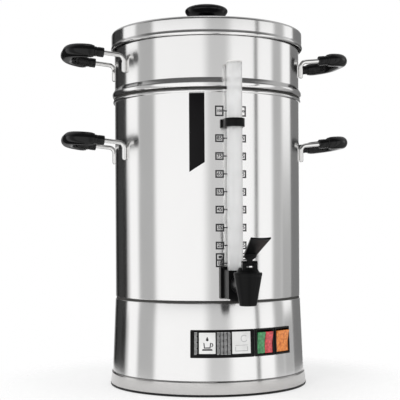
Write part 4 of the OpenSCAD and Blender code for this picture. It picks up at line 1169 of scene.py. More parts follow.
@dataclass
class Lid:
    """Domed lid with its rolled bead and black knob."""

    bench: Bench
    radius: float = 134.4
    sheet: float = SHEET
    edge_r: float = 4.0
    dome: float = 6.6
    brim: float = field(default_factory=lambda: lowest("lid"))
    top: float = field(default_factory=lambda: highest("lid"))
    bead_r: float = 2.75
    bead_out: float = 0.8
    bead_lean: float = 15.0
    screw_hole: float = 3.05
    knob_low: float = field(default_factory=lambda: lowest("lid_knob"))
    knob_top: float = field(default_factory=lambda: highest("lid_knob"))
    knob_r: float = 30.3
    knob_crown: float = 8.4

    def cover(self) -> None:
        """Builds the lid from one outline."""
        inner = self.radius - self.edge_r
        seat = self.top - self.dome
        edge = (inner, seat - self.edge_r)
        bead = (self.radius + self.bead_out - self.bead_r, self.brim + self.bead_r)
        rings = 16
        crown = [(inner * k / rings, seat + self.dome * (1 - (k / rings) ** 2)) for k in range(rings)]
        below = -math.degrees(math.acos((self.radius - self.sheet - bead[0]) / self.bead_r))
        hole = self.screw_hole
        # Crown, rounded edge, flare and bead outside, then back along the inside.
        self.bench.add("lid_shell", Shell().lathe([
            (hole, self.top - 0.02), *crown[1:], *arc(edge, self.edge_r, 90, 0, 14),
            *bead_flare(bead, self.bead_r, self.bead_lean, self.radius),
            *arc(bead, self.bead_r, self.bead_lean, below, 22),
            *arc(edge, self.edge_r - self.sheet, 0, 90, 10),
            *[(r, z - self.sheet) for r, z in reversed(crown[1:])], (hole, self.top - self.sheet - 0.02),
        ]), Body.LID, MIRROR_STEEL, ["lid"], "polished_steel")

    def knob(self) -> None:
        """Builds the knob from a smooth outline."""
        z, r, c = self.knob_low, self.knob_r, self.knob_crown
        wide = self.knob_top - c
        # Waist, underside, widest ring and crown.
        side = spline([
            (15.0, z + 0.6), (13.9, z + 4.0), (13.7, z + 7.5), (15.6, wide - 13.5), (20.5, wide - 10.0),
            (26.3, wide - 6.2), (29.2, wide - 2.6), (r, wide + 0.04 * c), (29.4, wide + 0.34 * c),
            (26.6, wide + 0.59 * c), (21.5, wide + 0.79 * c), (14.0, wide + 0.93 * c),
            (6.5, wide + 0.99 * c),
        ], 5)
        self.bench.add("lid_handle", Shell().lathe([
            (0, z), (14.4, z), *side, (0, self.knob_top),
        ], steps=96), Body.LID, KNOB_BLACK, ["lid_knob"], "black_gloss", sharp=40.0)
        self.bench.dress(GASKET_RUBBER, "knob_washer")
        self.bench.dress(SATIN_STEEL, "lid_screw")

    def build(self) -> None:
        """Builds the lid."""
        self.cover()
        self.knob()


@dataclass
class LoopHandle:
    """Wire loop welded to a wall, with a moulded grip round its outer end."""

    bench: Bench
    name: str
    side: Side
    body: Body
    nodes: tuple[str, str]
    wire_r: float = 3.0
    grip_r: float = 9.0
    collar_r: float = 6.5
    collar_l: float = 13.5
    leg_gap: float = 85.0
    leg_x: float = 126.08
    leg_drop: float = 24.0
    bend_r: float = 8.0
    tilt: float = 6.0
    corner_r: float = 30.0
    height: float = field(init=False)
    corner_x: float = field(init=False)

    def __post_init__(self) -> None:
        """Takes the handle's height and reach from the frame."""
        t = math.radians(self.tilt)
        self.height = lowest(self.nodes[0]) + self.leg_drop
        start = self.leg_x + self.bend_r * (1 - math.sin(t))
        tip = max(-lowest(self.nodes[1], 0), highest(self.nodes[1], 0))
        self.corner_x = (tip - self.grip_r - start) / math.cos(t) - self.corner_r

    def plane(self, x: float, y: float) -> Point3:
        """Point of the tilted plane of the loop.

        Args:
            x: Distance along the plane from the end of the wall bend.
            y: Distance across it.

        Returns:
            The point, on the handle's own side.
        """
        t = math.radians(self.tilt)
        out = self.leg_x + self.bend_r * (1 - math.sin(t)) + x * math.cos(t)
        return self.turned(out, y, self.height - self.bend_r * (1 - math.cos(t)) + x * math.sin(t))

    def turned(self, x: float, y: float, z: float) -> Point3:
        """Returns a point of the right side on the handle's own side."""
        s = self.side.value
        return (s * x, s * y, z)

    def loop(self) -> list[Point3]:
        """Draws the outer end of the loop: two corners and the bar between them.

        Returns:
            Its points, from the front corner to the back one.
        """
        half = self.leg_gap / 2 - self.corner_r
        ends = arc((self.corner_x, -half), self.corner_r, -90, 0, 12)
        return [self.plane(x, y) for x, y in ends + [(x, -y) for x, y in reversed(ends)]]

    def leg(self, y: float) -> list[Point3]:
        """Draws a leg from its welded tip to the start of the corner.

        Args:
            y: Distance of the leg from the handle's middle.

        Returns:
            Its points.
        """
        foot = self.height - self.leg_drop
        knee = (self.leg_x + self.bend_r, self.height - self.bend_r)
        tip = [(self.leg_x, foot + up) for up in (0.05, 0.5, 1.5, 3.0)]
        bend = arc(knee, self.bend_r, 180, 90 + self.tilt, 10)
        rise = [self.turned(x, y, z) for x, z in tip + bend]
        return rise + [self.plane(self.corner_x * k / 4, y) for k in range(1, 4)]

    def wire(self) -> None:
        """Builds the wire, rounded at its two welded tips."""
        half = self.leg_gap / 2
        path = self.leg(-half) + self.loop() + list(reversed(self.leg(half)))
        tip = [self.wire_r * k for k in (0.15, 0.55, 0.87, 1.0)]
        sizes = tip + [self.wire_r] * (len(path) - 2 * len(tip)) + tip[::-1]
        shell = Shell().sweep(path, sizes, sides=32)
        self.bench.add(f"{self.name}_wire", shell, self.body, WIRE_STEEL, [self.nodes[0]], "polished_steel",
                       sharp=50.0)

    def grip(self) -> None:
        """Builds the grip with a slim collar, a groove and a full body."""
        half, c = self.leg_gap / 2, self.collar_r
        start = self.corner_x - self.collar_l
        # Distance along the collar and radius there, with a narrow groove.
        stops = [
            (0.0, self.wire_r + 0.1), (0.02, c - 1.0), (0.35, c - 0.3), (1.0, c), (8.4, c), (8.9, c - 0.4),
            (9.8, c - 0.4), (10.3, c), (self.collar_l - 0.4, c + 0.1), (self.collar_l, self.grip_r - 1.2),
        ]
        entry = [(self.plane(start + s, -half), r) for s, r in stops]
        leave = [(self.plane(start + s, half), r) for s, r in reversed(stops)]
        ends = [self.grip_r - 0.25] + [self.grip_r] * (len(self.loop()) - 4) + [self.grip_r - 0.25]
        body = list(zip(self.loop()[1:-1], ends))
        path = entry + body + leave
        shell = Shell().sweep([p for p, _ in path], [r for _, r in path], sides=40)
        self.bench.add(f"{self.name}_grip", shell, self.body, GRIP_BLACK, [self.nodes[1]], "black_gloss",
                       sharp=38.0)

    def build(self) -> None:
        """Builds the handle."""
        self.wire()
        self.grip()


@dataclass
class SightGauge:
    """Clear tube with its cap and clip, and the black block under it."""

    bench: Bench
    y: float = 146.0
    tube_r: float = 10.0
    bore_r: float = 6.5
    foot: float = field(default_factory=lambda: lowest("gauge_tube"))
    head: float = field(default_factory=lambda: highest("gauge_tube"))
    clip_z: float = field(default_factory=lambda: middle("tube_clip"))
    clip_h: float = 11.0
    clip_t: float = 3.0
    clip_foot: float = 15.0
    cap_h: float = 2.0
    vent_r: float = 1.5
    wall_r: float = VESSEL_R

    def tube(self) -> None:
        """Builds the tube and its vented cap."""
        r, b, c, around = self.tube_r, self.bore_r, 0.5, 72
        self.bench.add("sight_tube", Shell().lathe([
            (b, self.foot), (r - c, self.foot), *arc((r - c, self.foot + c), c, -90, 0, 4),
            *arc((r - c, self.head - c), c, 0, 90, 4), (b, self.head),
        ], (0, -self.y), steps=around), Body.BASE, TUBE_CLEAR, ["gauge_tube"], "clear_tube")
        head, top, plug, vent = self.head, self.head + self.cap_h, b - FACE_GAP, self.vent_r
        self.bench.add("sight_tube_cap", Shell().lathe([
            (vent, head - 8), (b - 0.6, head - 8), (plug, head - 7.4), (plug, head), (r - 0.3, head),
            (r, head + 0.3), *arc((r - 0.9, top - 0.9), 0.9, 0, 90, 5), (3.2, top), (2.6, top - 0.8),
            (vent, top - 0.8),
        ], (0, -self.y), steps=around), Body.BASE, CAP_WHITE, ["tube_cap"], "white_plastic")
        self.bench.dress(SEAL_RUBBER, "tube_seal")

    def clip(self) -> None:
        """Builds the clip: a collar round the tube on a foot that follows the wall."""
        ring, foot, half = self.tube_r + self.clip_t, self.clip_foot, self.clip_h / 2
        stops = [foot * k / 3 for k in range(3, -4, -1)]
        back = [(x, -math.sqrt((self.wall_r + FACE_GAP) ** 2 - x * x)) for x in stops]
        front = arc((0, -self.y), ring, 180, 360, 24)
        face, neck = -self.wall_r - self.clip_t, -self.wall_r - self.clip_t - 0.6
        outer = [(-foot, face), (-ring - 0.5, face), (-ring, neck), *front,
                 (ring, neck), (ring + 0.5, face), (foot, face)]
        hole = arc((0, -self.y), self.tube_r + FACE_GAP, 0, 360, 48)[:-1]
        form = bmesh.new()
        for outline in (outer + back, hole):
            spots = [form.verts.new((x, y, self.clip_z - half)) for x, y in outline]
            for k, spot in enumerate(spots):
                form.edges.new((spot, spots[(k + 1) % len(spots)]))
        bmesh.ops.triangle_fill(form, use_beauty=True, edges=list(form.edges), normal=(0, 0, -1))
        sides = bmesh.ops.extrude_face_region(form, geom=list(form.faces))
        raised = [v for v in sides["geom"] if isinstance(v, bmesh.types.BMVert)]
        bmesh.ops.translate(form, vec=(0, 0, self.clip_h), verts=raised)
        bmesh.ops.recalc_face_normals(form, faces=form.faces)
        soften(form, angle=60, width=0.5, segments=2)
        self.bench.add("sight_tube_clip", form, Body.BASE, TAP_BLACK, ["tube_clip"], "black_matte")

    def block(self) -> None:
        """Dresses the block and its fixings."""
        self.bench.dress(TAP_BLACK, "gauge_block", "drain_plug", "shank_nut", round_off=0.8)
        self.bench.dress(GASKET_RUBBER, "wall_gasket")
        self.bench.dress(SATIN_STEEL, "inner_washer")

    def build(self) -> None:
        """Builds the gauge."""
        self.tube()
        self.clip()
        self.block()


@dataclass
class CupScale:
    """Printed scale on the tank wall: boxes, ticks and plain numbers on both sides of the tube."""

    bench: Bench
    marks: tuple[tuple[str, float], ...] = (
        ("15", 171.9), ("25", 194.8), ("35", 217.9), ("45", 241.2), ("55", 264.2), ("65", 287.3),
        ("75", 310.4), ("85", 333.5), ("100", 368.8),
    )
    wall: Wall = field(default_factory=lambda: Wall(VESSEL_R, 0.0))
    azimuth: Pair = (-6.95, 6.45)
    box: Pair = (11.2, 10.2)
    line: float = 1.9
    tick: float = 4.6
    tick_half: float = 0.75
    tall_share: float = 1.35
    sign_h: float = 8.0
    sign_cup: tuple[Bar, ...] = ((-1.9, 1.4, 1.9, 4.6), (1.9, 2.2, 2.9, 3.9))
    type_sizes: Pair = (6.6, 4.7)
    ink: Pair = (0.03, 0.1)

    def frame_bars(self, w: float, h: float) -> list[Bar]:
        """Returns the four bars of a box of a width and height round the origin."""
        t = self.line
        return [(-w, -h, w, t - h), (-w, h - t, w, h), (-w, t - h, t - w, h - t), (w - t, t - h, w, h - t)]

    def mark(self, text: str, z: float, side: Side) -> Form:
        """Makes one mark.

        Args:
            text: Its number.
            z: Its height.
            side: Side of the tube.

        Returns:
            The mark, laid on the wall.
        """
        half = self.box[0] / 2
        long = len(text) > 2
        tall = self.box[1] / 2 * (self.tall_share if long else 1.0)
        bars = self.frame_bars(half, tall)
        inward = -side.value
        reach = sorted((inward * half, inward * (half + self.tick)))
        bars.append((reach[0], -self.tick_half, reach[1], self.tick_half))
        # The lowest box carries a second one with a plain cup in it.
        if text == self.marks[0][0]:
            above = tall + self.sign_h
            bars += [(-half, tall, self.line - half, above), (half - self.line, tall, half, above),
                     (-half, above - self.line, half, above)]
            bars += [(x0, tall + y0, x1, tall + y1) for x0, y0, x1, y1 in self.sign_cup]
        flat = flat_bars(bars, *self.ink).mesh()
        number = digits(text, self.type_sizes[long], self.ink[1] - self.ink[0])
        bmesh.ops.translate(number, vec=(0, 0, self.ink[0]), verts=number.verts)
        merge(flat, number)
        return self.wall.lay(flat, self.azimuth[side is Side.RIGHT], z, step=1.5)

    def build(self) -> None:
        """Builds all marks, one piece for each side."""
        for side in Side:
            whole = bmesh.new()
            for text, z in self.marks:
                merge(whole, self.mark(text, z, side))
            self.bench.add(f"cup_scale_{side.name.lower()}", whole, Body.BASE, INK_BLACK)


@dataclass
class LeverTap:
    """Tap with a conical spout, its bonnet and a lever with a flared paddle."""

    bench: Bench
    y: float = 203.0
    top: float = field(default_factory=lambda: highest("tap_body"))
    mouth: float = field(default_factory=lambda: lowest("tap_body"))
    top_r: float = 17.5
    mouth_r: float = 10.75
    bore_r: float = 7.0
    neck_r: float = 11.0
    neck_from: float = 164.9
    neck_up: float = 25.0
    pin_y: float = field(default_factory=lambda: -joint("lever_pull")["pos_m"][1] / MM)
    pin_z: float = field(default_factory=lambda: joint("lever_pull")["pos_m"][2] / MM)
    half: float = 4.2
    fork_in: float = 2.1
    fork_r: float = 2.0
    arm_half: float = 1.9
    hub_r: float = 3.0
    chamber_r: float = 9.0
    stalk_w: Pair = (3.8, 7.8)
    stalk_t: Pair = (2.7, 2.0)
    stalk_spread: Pair = (0.36, 0.26)
    stalk_turn: Pair = (78.0, 48.0)
    root_out: Pair = (5.0, 12.0)
    paddle_l: float = 48.0
    paddle_root: float = 16.0
    paddle_tip: float = 25.0
    paddle_t: float = 4.0
    paddle_thin: float = 0.42
    paddle_power: float = 1.1
    paddle_dish: Pair = (0.9, 0.5)
    shoulder: Pair = (0.12, 0.72)
    angle: float = 24.0
    spring_r: float = 4.0
    spring_wire: float = 0.6
    spring_turns: int = 5

    def spout(self) -> None:
        """Builds the spout with its outlet, brim and the neck to the block."""
        r = self.top_r
        # Outlet, mouth, cone and brim, then down into the chamber.
        shell = Shell().lathe([
            (self.bore_r, self.mouth + 12), (self.bore_r, self.mouth + 0.6), (self.bore_r + 0.6, self.mouth),
            (self.mouth_r - 1.4, self.mouth), *arc((self.mouth_r - 1.4, self.mouth + 1.4), 1.4, -90, -5, 6),
            (r - 0.6, self.top - 5.5), (r - 0.5, self.top - 4.2), (r, self.top - 3.6),
            *arc((r - 0.9, self.top - 0.9), 0.9, 0, 90, 5), (r - 2.4, self.top), (r - 2.8, self.top - 1.6),
            (self.chamber_r + 0.2, self.top - 1.6), (self.chamber_r, self.top - 5.0),
            (self.chamber_r, self.mouth + 19), (self.bore_r, self.mouth + 19),
        ], (0, -self.y), steps=96)
        self.bench.add("tap_spout", shell, Body.BASE, TAP_BLACK, ["tap_body"], "black_matte", sharp=35.0)
        ring = arc((0.0, 0.0), self.neck_r, 0, 360, 48)[:-1]
        z = self.mouth + self.neck_up
        # Distance from the vessel's axis and share of the neck's radius: shank, collar, neck.
        stops = [(self.neck_from - 12.9, 0.72), (self.neck_from, 0.72), (self.neck_from + 0.1, 1.08),
                 (self.neck_from + 3.4, 1.08), (self.neck_from + 4.2, 1.0), (self.y - 9.2, 1.0)]
        sections = [[(x * s, -y, z + up * s) for x, up in ring] for y, s in stops]
        neck = Shell().loft(sections)
        self.bench.add("tap_neck", neck, Body.BASE, TAP_BLACK, [], "black_matte", sharp=35.0)
        self.bench.dress(TAP_BLACK, "tap_bonnet", round_off=0.35)

    def root(self) -> Point:
        """Returns distance and height of the paddle's root."""
        return (self.pin_y + self.root_out[0], self.pin_z + self.root_out[1])

    def lever(self) -> None:
        """Builds the lever: fork and hub round the pin, waisted stalk and flared paddle."""
        shell = Shell()
        pin = (self.pin_y, self.pin_z)
        for s in (-1, 1):
            inner, outer = sorted((s * self.fork_in, s * self.half))
            outline = [*arc((self.y, self.pin_z), self.fork_r, -90, -270, 10),
                       (self.pin_y, self.pin_z + self.arm_half), (self.pin_y, self.pin_z - self.arm_half)]
            shell.prism(outline, inner, outer, from_side)
        hub = arc(pin, self.hub_r, 0, 360, 28)[:-1]
        shell.prism(hub, -self.half, self.half, from_side)
        far, up = self.root()
        stalk = spline([(pin[0] + 0.2, pin[1]), (pin[0] + 1.2, pin[1] + 4.5), (far - 1.6, up - 3.2),
                        (far + 2.5, up + 1.2)], 9)
        (narrow, broad), (thick_root, thick_tip) = self.stalk_w, self.stalk_t
        (begin, span), (upright, fall) = self.stalk_spread, self.stalk_turn
        ring = [squared(2 * math.pi * i / 24) for i in range(24)]
        sections = []
        for k, (y, z) in enumerate(stalk):
            t = k / (len(stalk) - 1)
            spread = min(1.0, max(0.0, (t - begin) / span))
            wide = narrow + (broad - narrow) * spread * spread * (3 - 2 * spread)
            thick = thick_root + (thick_tip - thick_root) * t
            turn = math.radians(upright - fall * t * t)
            sections.append([
                (wide * u, -y + thick * v * math.sin(turn), z + thick * v * math.cos(turn)) for u, v in ring
            ])
        form = shell.loft(sections).mesh()
        merge(form, self.paddle())
        self.bench.add("tap_handle", form, Body.LEVER, TAP_BLACK, ["tap_lever"], "black_matte", sharp=35.0)
        self.bench.dress(SATIN_STEEL, "lever_pin", "tap_stem")
        self.bench.dress(SILICONE, "seat_cup")

    def paddle(self) -> Form:
        """Makes the paddle: a flared blade with rounded edges, thinner at its tip and hollowed on top.

        Returns:
            The blade.
        """
        turn = math.radians(self.angle)
        far, rise = self.root()

        def place(x: float, along: float, up: float) -> Point3:
            """Puts a point of the blade in space.

            Args:
                x: Distance across the blade.
                along: Distance from its root.
                up: Height above its middle.

            Returns:
                The point.
            """
            y = far + along * math.cos(turn) - up * math.sin(turn)
            return (x, -y, rise + along * math.sin(turn) + up * math.cos(turn))

        columns, rows = 14, 16
        first, last = -5.0, self.paddle_l
        (shoulder, slim), (hollow, belly) = self.shoulder, self.paddle_dish
        rings = []
        for i in range(rows + 1):
            t = i / rows
            along = first + (last - first) * t
            flare = max(0.0, along / self.paddle_l)
            half = (self.paddle_root + (self.paddle_tip - self.paddle_root) * flare ** self.paddle_power) / 2
            half *= 1.0 if t > shoulder else slim + (1 - slim) * math.sqrt(t / shoulder)
            thick = self.paddle_t * (1 - self.paddle_thin * flare) / 2
            ring = []
            for k in range(columns + 1):
                x = -1 + 2 * k / columns
                ring.append(place(half * x, along, thick - hollow * flare * (1 - x * x)))
            for k in range(columns, -1, -1):
                x = -1 + 2 * k / columns
                ring.append(place(half * x, along, -thick - belly * flare * (1 - x * x)))
            rings.append(ring)
        return Shell().loft(rings).mesh(bevel=0.7, segments=3)

    def spring(self) -> None:
        """Builds the spring, which the lifted valve presses together under the bonnet."""
        lower, upper = lowest("tap_spring"), highest("tap_spring")
        first, rise = lower + self.spring_wire, upper - lower - 2 * self.spring_wire
        count = self.spring_turns * 28
        turns = [2 * math.pi * self.spring_turns * k / count for k in range(count + 1)]
        path = [(self.spring_r * math.cos(t), self.spring_r * math.sin(t) - self.y, first + rise * k / count)
                for k, t in enumerate(turns)]
        coil = Shell().sweep(path, [self.spring_wire] * len(path), sides=12)
        piece = self.bench.add("tap_coil", coil, Body.BASE, SATIN_STEEL, ["tap_spring"], "", sharp=60.0)
        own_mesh(piece)

    def build(self) -> None:
        """Builds the tap."""
        self.spout()
        self.lever()
        self.spring()


@dataclass
class ControlPanel:
    """Black plate on the skirt with two plain pictograms and ruled lines."""

    bench: Bench
    stand: Stand
    height: float = 36.0
    left: float = -24.0
    right: float = 12.8
    corner: float = 1.2
    out: float = 0.85
    ink: float = 0.06
    cup_azimuth: float = -14.5
    cup_field: Pair = (10.6, 13.6)
    fill_azimuth: float = 4.9
    fill_field: Pair = (12.6, 14.2)
    field_up: float = 1.0
    rule_blocks: tuple[tuple[str, float, int], ...] = (("left", -20.9, 1), ("middle", -5.3, 4))
    rule_count: int = 19
    rule_step: float = 1.55
    rule_half: float = 1.9
    rule_low: float = -14.2
    rule_h: float = 0.8
    rule_up: float = 0.5
    column_step: float = 4.7

    def laid(self, form: Form, azimuth: float, z: float) -> Form:
        """Bends a flat form round the skirt at the panel.

        Args:
            form: The flat form.
            azimuth: Azimuth of its origin.
            z: Height of its origin.

        Returns:
            The same form, bent.
        """
        s = self.stand
        return Wall(s.radius(s.panel_z), z, s.wall().lean).lay(form, azimuth, z)

    def plate(self) -> None:
        """Builds the plate, with rounded corners and edges."""
        z = self.stand.panel_z
        half = math.radians((self.right - self.left) / 2) * self.stand.radius(z)
        corners = rounded(half, self.height / 2, self.corner)
        flat = Shell().prism(corners, FACE_GAP, self.out).mesh(bevel=0.2, segments=2)
        plate = self.laid(flat, (self.left + self.right) / 2, z)
        self.bench.add("panel_face", plate, Body.BASE, PLATE_BLACK, ["panel_plate"], "black_matte")

    def printed(self, outlines: Sequence[Sequence[Point]]) -> Form:
        """Prints closed outlines on a white field.

        Args:
            outlines: The outlines, round the field's middle.

        Returns:
            The flat print.
        """
        face = self.out + self.ink
        shell = Shell()
        for outline in outlines:
            shell.prism(outline, face, face + self.ink)
        return shell.mesh()

    def fields(self) -> None:
        """Builds the two white fields and their pictograms."""
        z = self.stand.panel_z + self.field_up
        for name, azimuth, (w, h) in (("left", self.cup_azimuth, self.cup_field),
                                      ("right", self.fill_azimuth, self.fill_field)):
            white = flat_bars([(-w, -h, w, h)], self.out, self.out + self.ink).mesh()
            self.bench.add(f"panel_field_{name}", self.laid(white, azimuth, z), Body.BASE, INK_WHITE)
        saucer = [(-6.8, -9.4), (6.8, -9.4), (6.0, -7.4), (-6.0, -7.4)]
        cup = [(-4.2, -6.6), (4.2, -6.6), (5.0, 0.6), (3.7, 0.6), (3.0, -5.2), (-3.0, -5.2), (-3.7, 0.6),
               (-5.0, 0.6)]
        ear = band((5.0, -2.2), (2.7, 1.5), -80, 80, 8)
        drop = [(0.0, 8.6), *arc((0.0, 4.4), 1.7, 20, -200, 10)]
        cup_sign = self.printed((saucer, cup, ear, drop))
        self.bench.add("panel_cup_sign", self.laid(cup_sign, self.cup_azimuth, z), Body.BASE, INK_BLACK)
        tray = [(-8.6, -11.0, 8.6, -10.2), (-8.6, -11.0, -7.8, -5.0), (7.8, -11.0, 8.6, -5.0),
                (-8.6, -3.6, 8.6, -3.0)]
        ring = band((3.6, 5.2), (4.6, 3.8), 40, 330, 18)
        fill_sign = self.printed([*map(corners_of, tray), ring])
        self.bench.add("panel_fill_sign", self.laid(fill_sign, self.fill_azimuth, z), Body.BASE, INK_GREY)

    def rules(self) -> None:
        """Builds the plain ruled lines beside the fields, some of them a little shorter."""
        z = self.stand.panel_z + self.rule_up
        for name, azimuth, columns in self.rule_blocks:
            bars = []
            for c in range(columns):
                x = (c - (columns - 1) / 2) * self.column_step
                for k in range(self.rule_count):
                    short = self.rule_h if (k * 7 + c * 3) % 5 == 0 else 0.0
                    y = self.rule_low + self.rule_step * k
                    bars.append((x - self.rule_half, y, x + self.rule_half - short, y + self.rule_h))
            flat = flat_bars(bars, self.out, self.out + self.ink).mesh()
            self.bench.add(f"panel_rules_{name}", self.laid(flat, azimuth, z), Body.BASE, INK_GREY)

    def build(self) -> None:
        """Builds the panel."""
        self.plate()
        self.fields()
        self.rules()


@dataclass(frozen=True)
class Rocker:
    """One rocker: its node, body, lens, distance from the switch's middle, width and material slot."""

    node: str
    body: Body
    lens: Lens
    x: float
    width: float
    slot: str


@dataclass
class RockerSwitch:
    """Switch housing on the skirt with its rockers."""

    bench: Bench
    stand: Stand
    name: str
    azimuth: float
    node: str
    rockers: tuple[Rocker, ...]
    bezel_w: float = 30.0
    bezel_h: float = 36.0
    bezel_out: float = 2.2
    window_w: float = 25.4
    window_l: float = 31.2
    depth: float = 8.5
    pivot: float = 3.0
    tilt: float = 7.0
    length: float = 28.0
    tub_depth: float = 10.5
    sag: float = 0.9

    def frame(self) -> Matrix:
        """Works out the frame of the switch's face.

        Returns:
            The frame, with Y inwards and Z up along the skirt.
        """
        s = self.stand
        lean = math.atan(s.wall().lean)
        return (Matrix.Rotation(math.radians(self.azimuth), 4, "Z")
                @ Matrix.Translation((0, -s.radius(s.panel_z), s.panel_z)) @ Matrix.Rotation(-lean, 4, "X"))

    def housing(self) -> None:
        """Builds the bezel and the open tub behind it."""
        w, h, out = self.bezel_w, self.bezel_h, self.bezel_out
        open_w, open_h = self.window_w, self.window_l
        tub_w, tub_h = w - 1.4, h - 2.0
        # Width, height, corner and depth of the rings of tub, bezel and window.
        steps = [
            (tub_w, tub_h, 1.0, self.tub_depth), (tub_w, tub_h, 1.0, self.sag), (w, h, 1.0, self.sag),
            (w, h, 1.0, 0.6 - out), (w - 0.5, h - 0.5, 0.9, 0.15 - out), (w - 1.2, h - 1.2, 0.8, -out),
            (open_w + 0.8, open_h + 0.8, 0.7, -out), (open_w, open_h, 0.5, 0.5 - out),
            (open_w, open_h, 0.5, self.depth),
        ]
        sections = [[(x, y, z) for x, z in rounded(a / 2, b / 2, c)] for a, b, c, y in steps]
        form = Shell().loft(sections).mesh()
        form.transform(self.frame())
        self.bench.add(f"{self.name}_bezel", form, Body.BASE, TRIM_BLACK, [self.node], "black_matte",
                       sharp=30.0)

    def rocker(self, rocker: Rocker) -> None:
        """Builds one rocker with rounded edges.

        Args:
            rocker: The rocker.
        """
        half = self.length / 2
        # Hollow face in front, tapered back behind it.
        face = spline([(-6.0, -half), (-5.0, -half / 2), (-4.45, 0.0), (-5.0, half / 2), (-6.0, half)], 4)
        outline = [*face, (-3.0, half), (3.0, 4.0), (3.0, -4.0), (-3.0, -half)]
        reach = rocker.width / 2
        form = Shell().prism(outline, -reach, reach, lambda y, z, x: (x, y, z)).mesh(bevel=0.6, segments=3)
        form.transform(self.frame() @ Matrix.Translation((rocker.x, self.pivot, 0))
                       @ Matrix.Rotation(math.radians(self.tilt), 4, "X"))
        self.bench.add(f"{rocker.node}_lens", form, rocker.body, rocker.lens, [rocker.node], rocker.slot,
                       sharp=35.0)

    def build(self) -> None:
        """Builds the switch."""
        self.housing()
        for rocker in self.rockers:
            self.rocker(rocker)


@dataclass
class PowerInlet:
    """Appliance inlet at the back of the skirt."""

    bench: Bench

    def build(self) -> None:
        """Dresses the inlet, its pins and the pins of the rockers."""
        self.bench.dress(TRIM_BLACK, "power_inlet", round_off=0.5)
        self.bench.dress(SATIN_STEEL, "inlet_pins", "rocker_pins")


@dataclass(frozen=True)
class Flag:
    """A grey screen seen only in the polish: azimuth, half width and soft edge in degrees, brightness."""

    azimuth: float
    half: float
    feather: float
    level: float


@dataclass(frozen=True)
class Lamp:
    """Square soft lamp: angles from the tap in degrees, distance and side in metres, power in watts."""

    name: str
    azimuth: float
    elevation: float
    far: float
    size: float
    power: float

    def build(self, target: Vector) -> None:
        """Adds the lamp to the scene.

        Args:
            target: Point that it looks at.
        """
        data = bpy.data.lights.new(self.name, "AREA")
        data.size = self.size
        data.energy = self.power
        lamp = bpy.data.objects.new(self.name, data)
        lamp.visible_glossy = False
        a, e = math.radians(self.azimuth), math.radians(self.elevation)
        away = Vector((math.sin(a) * math.cos(e), -math.cos(a) * math.cos(e), math.sin(e)))
        lamp.location = away * self.far + target
        lamp.rotation_euler = (target - lamp.location).to_track_quat("-Z", "Y").to_euler()
        bpy.context.scene.collection.objects.link(lamp)


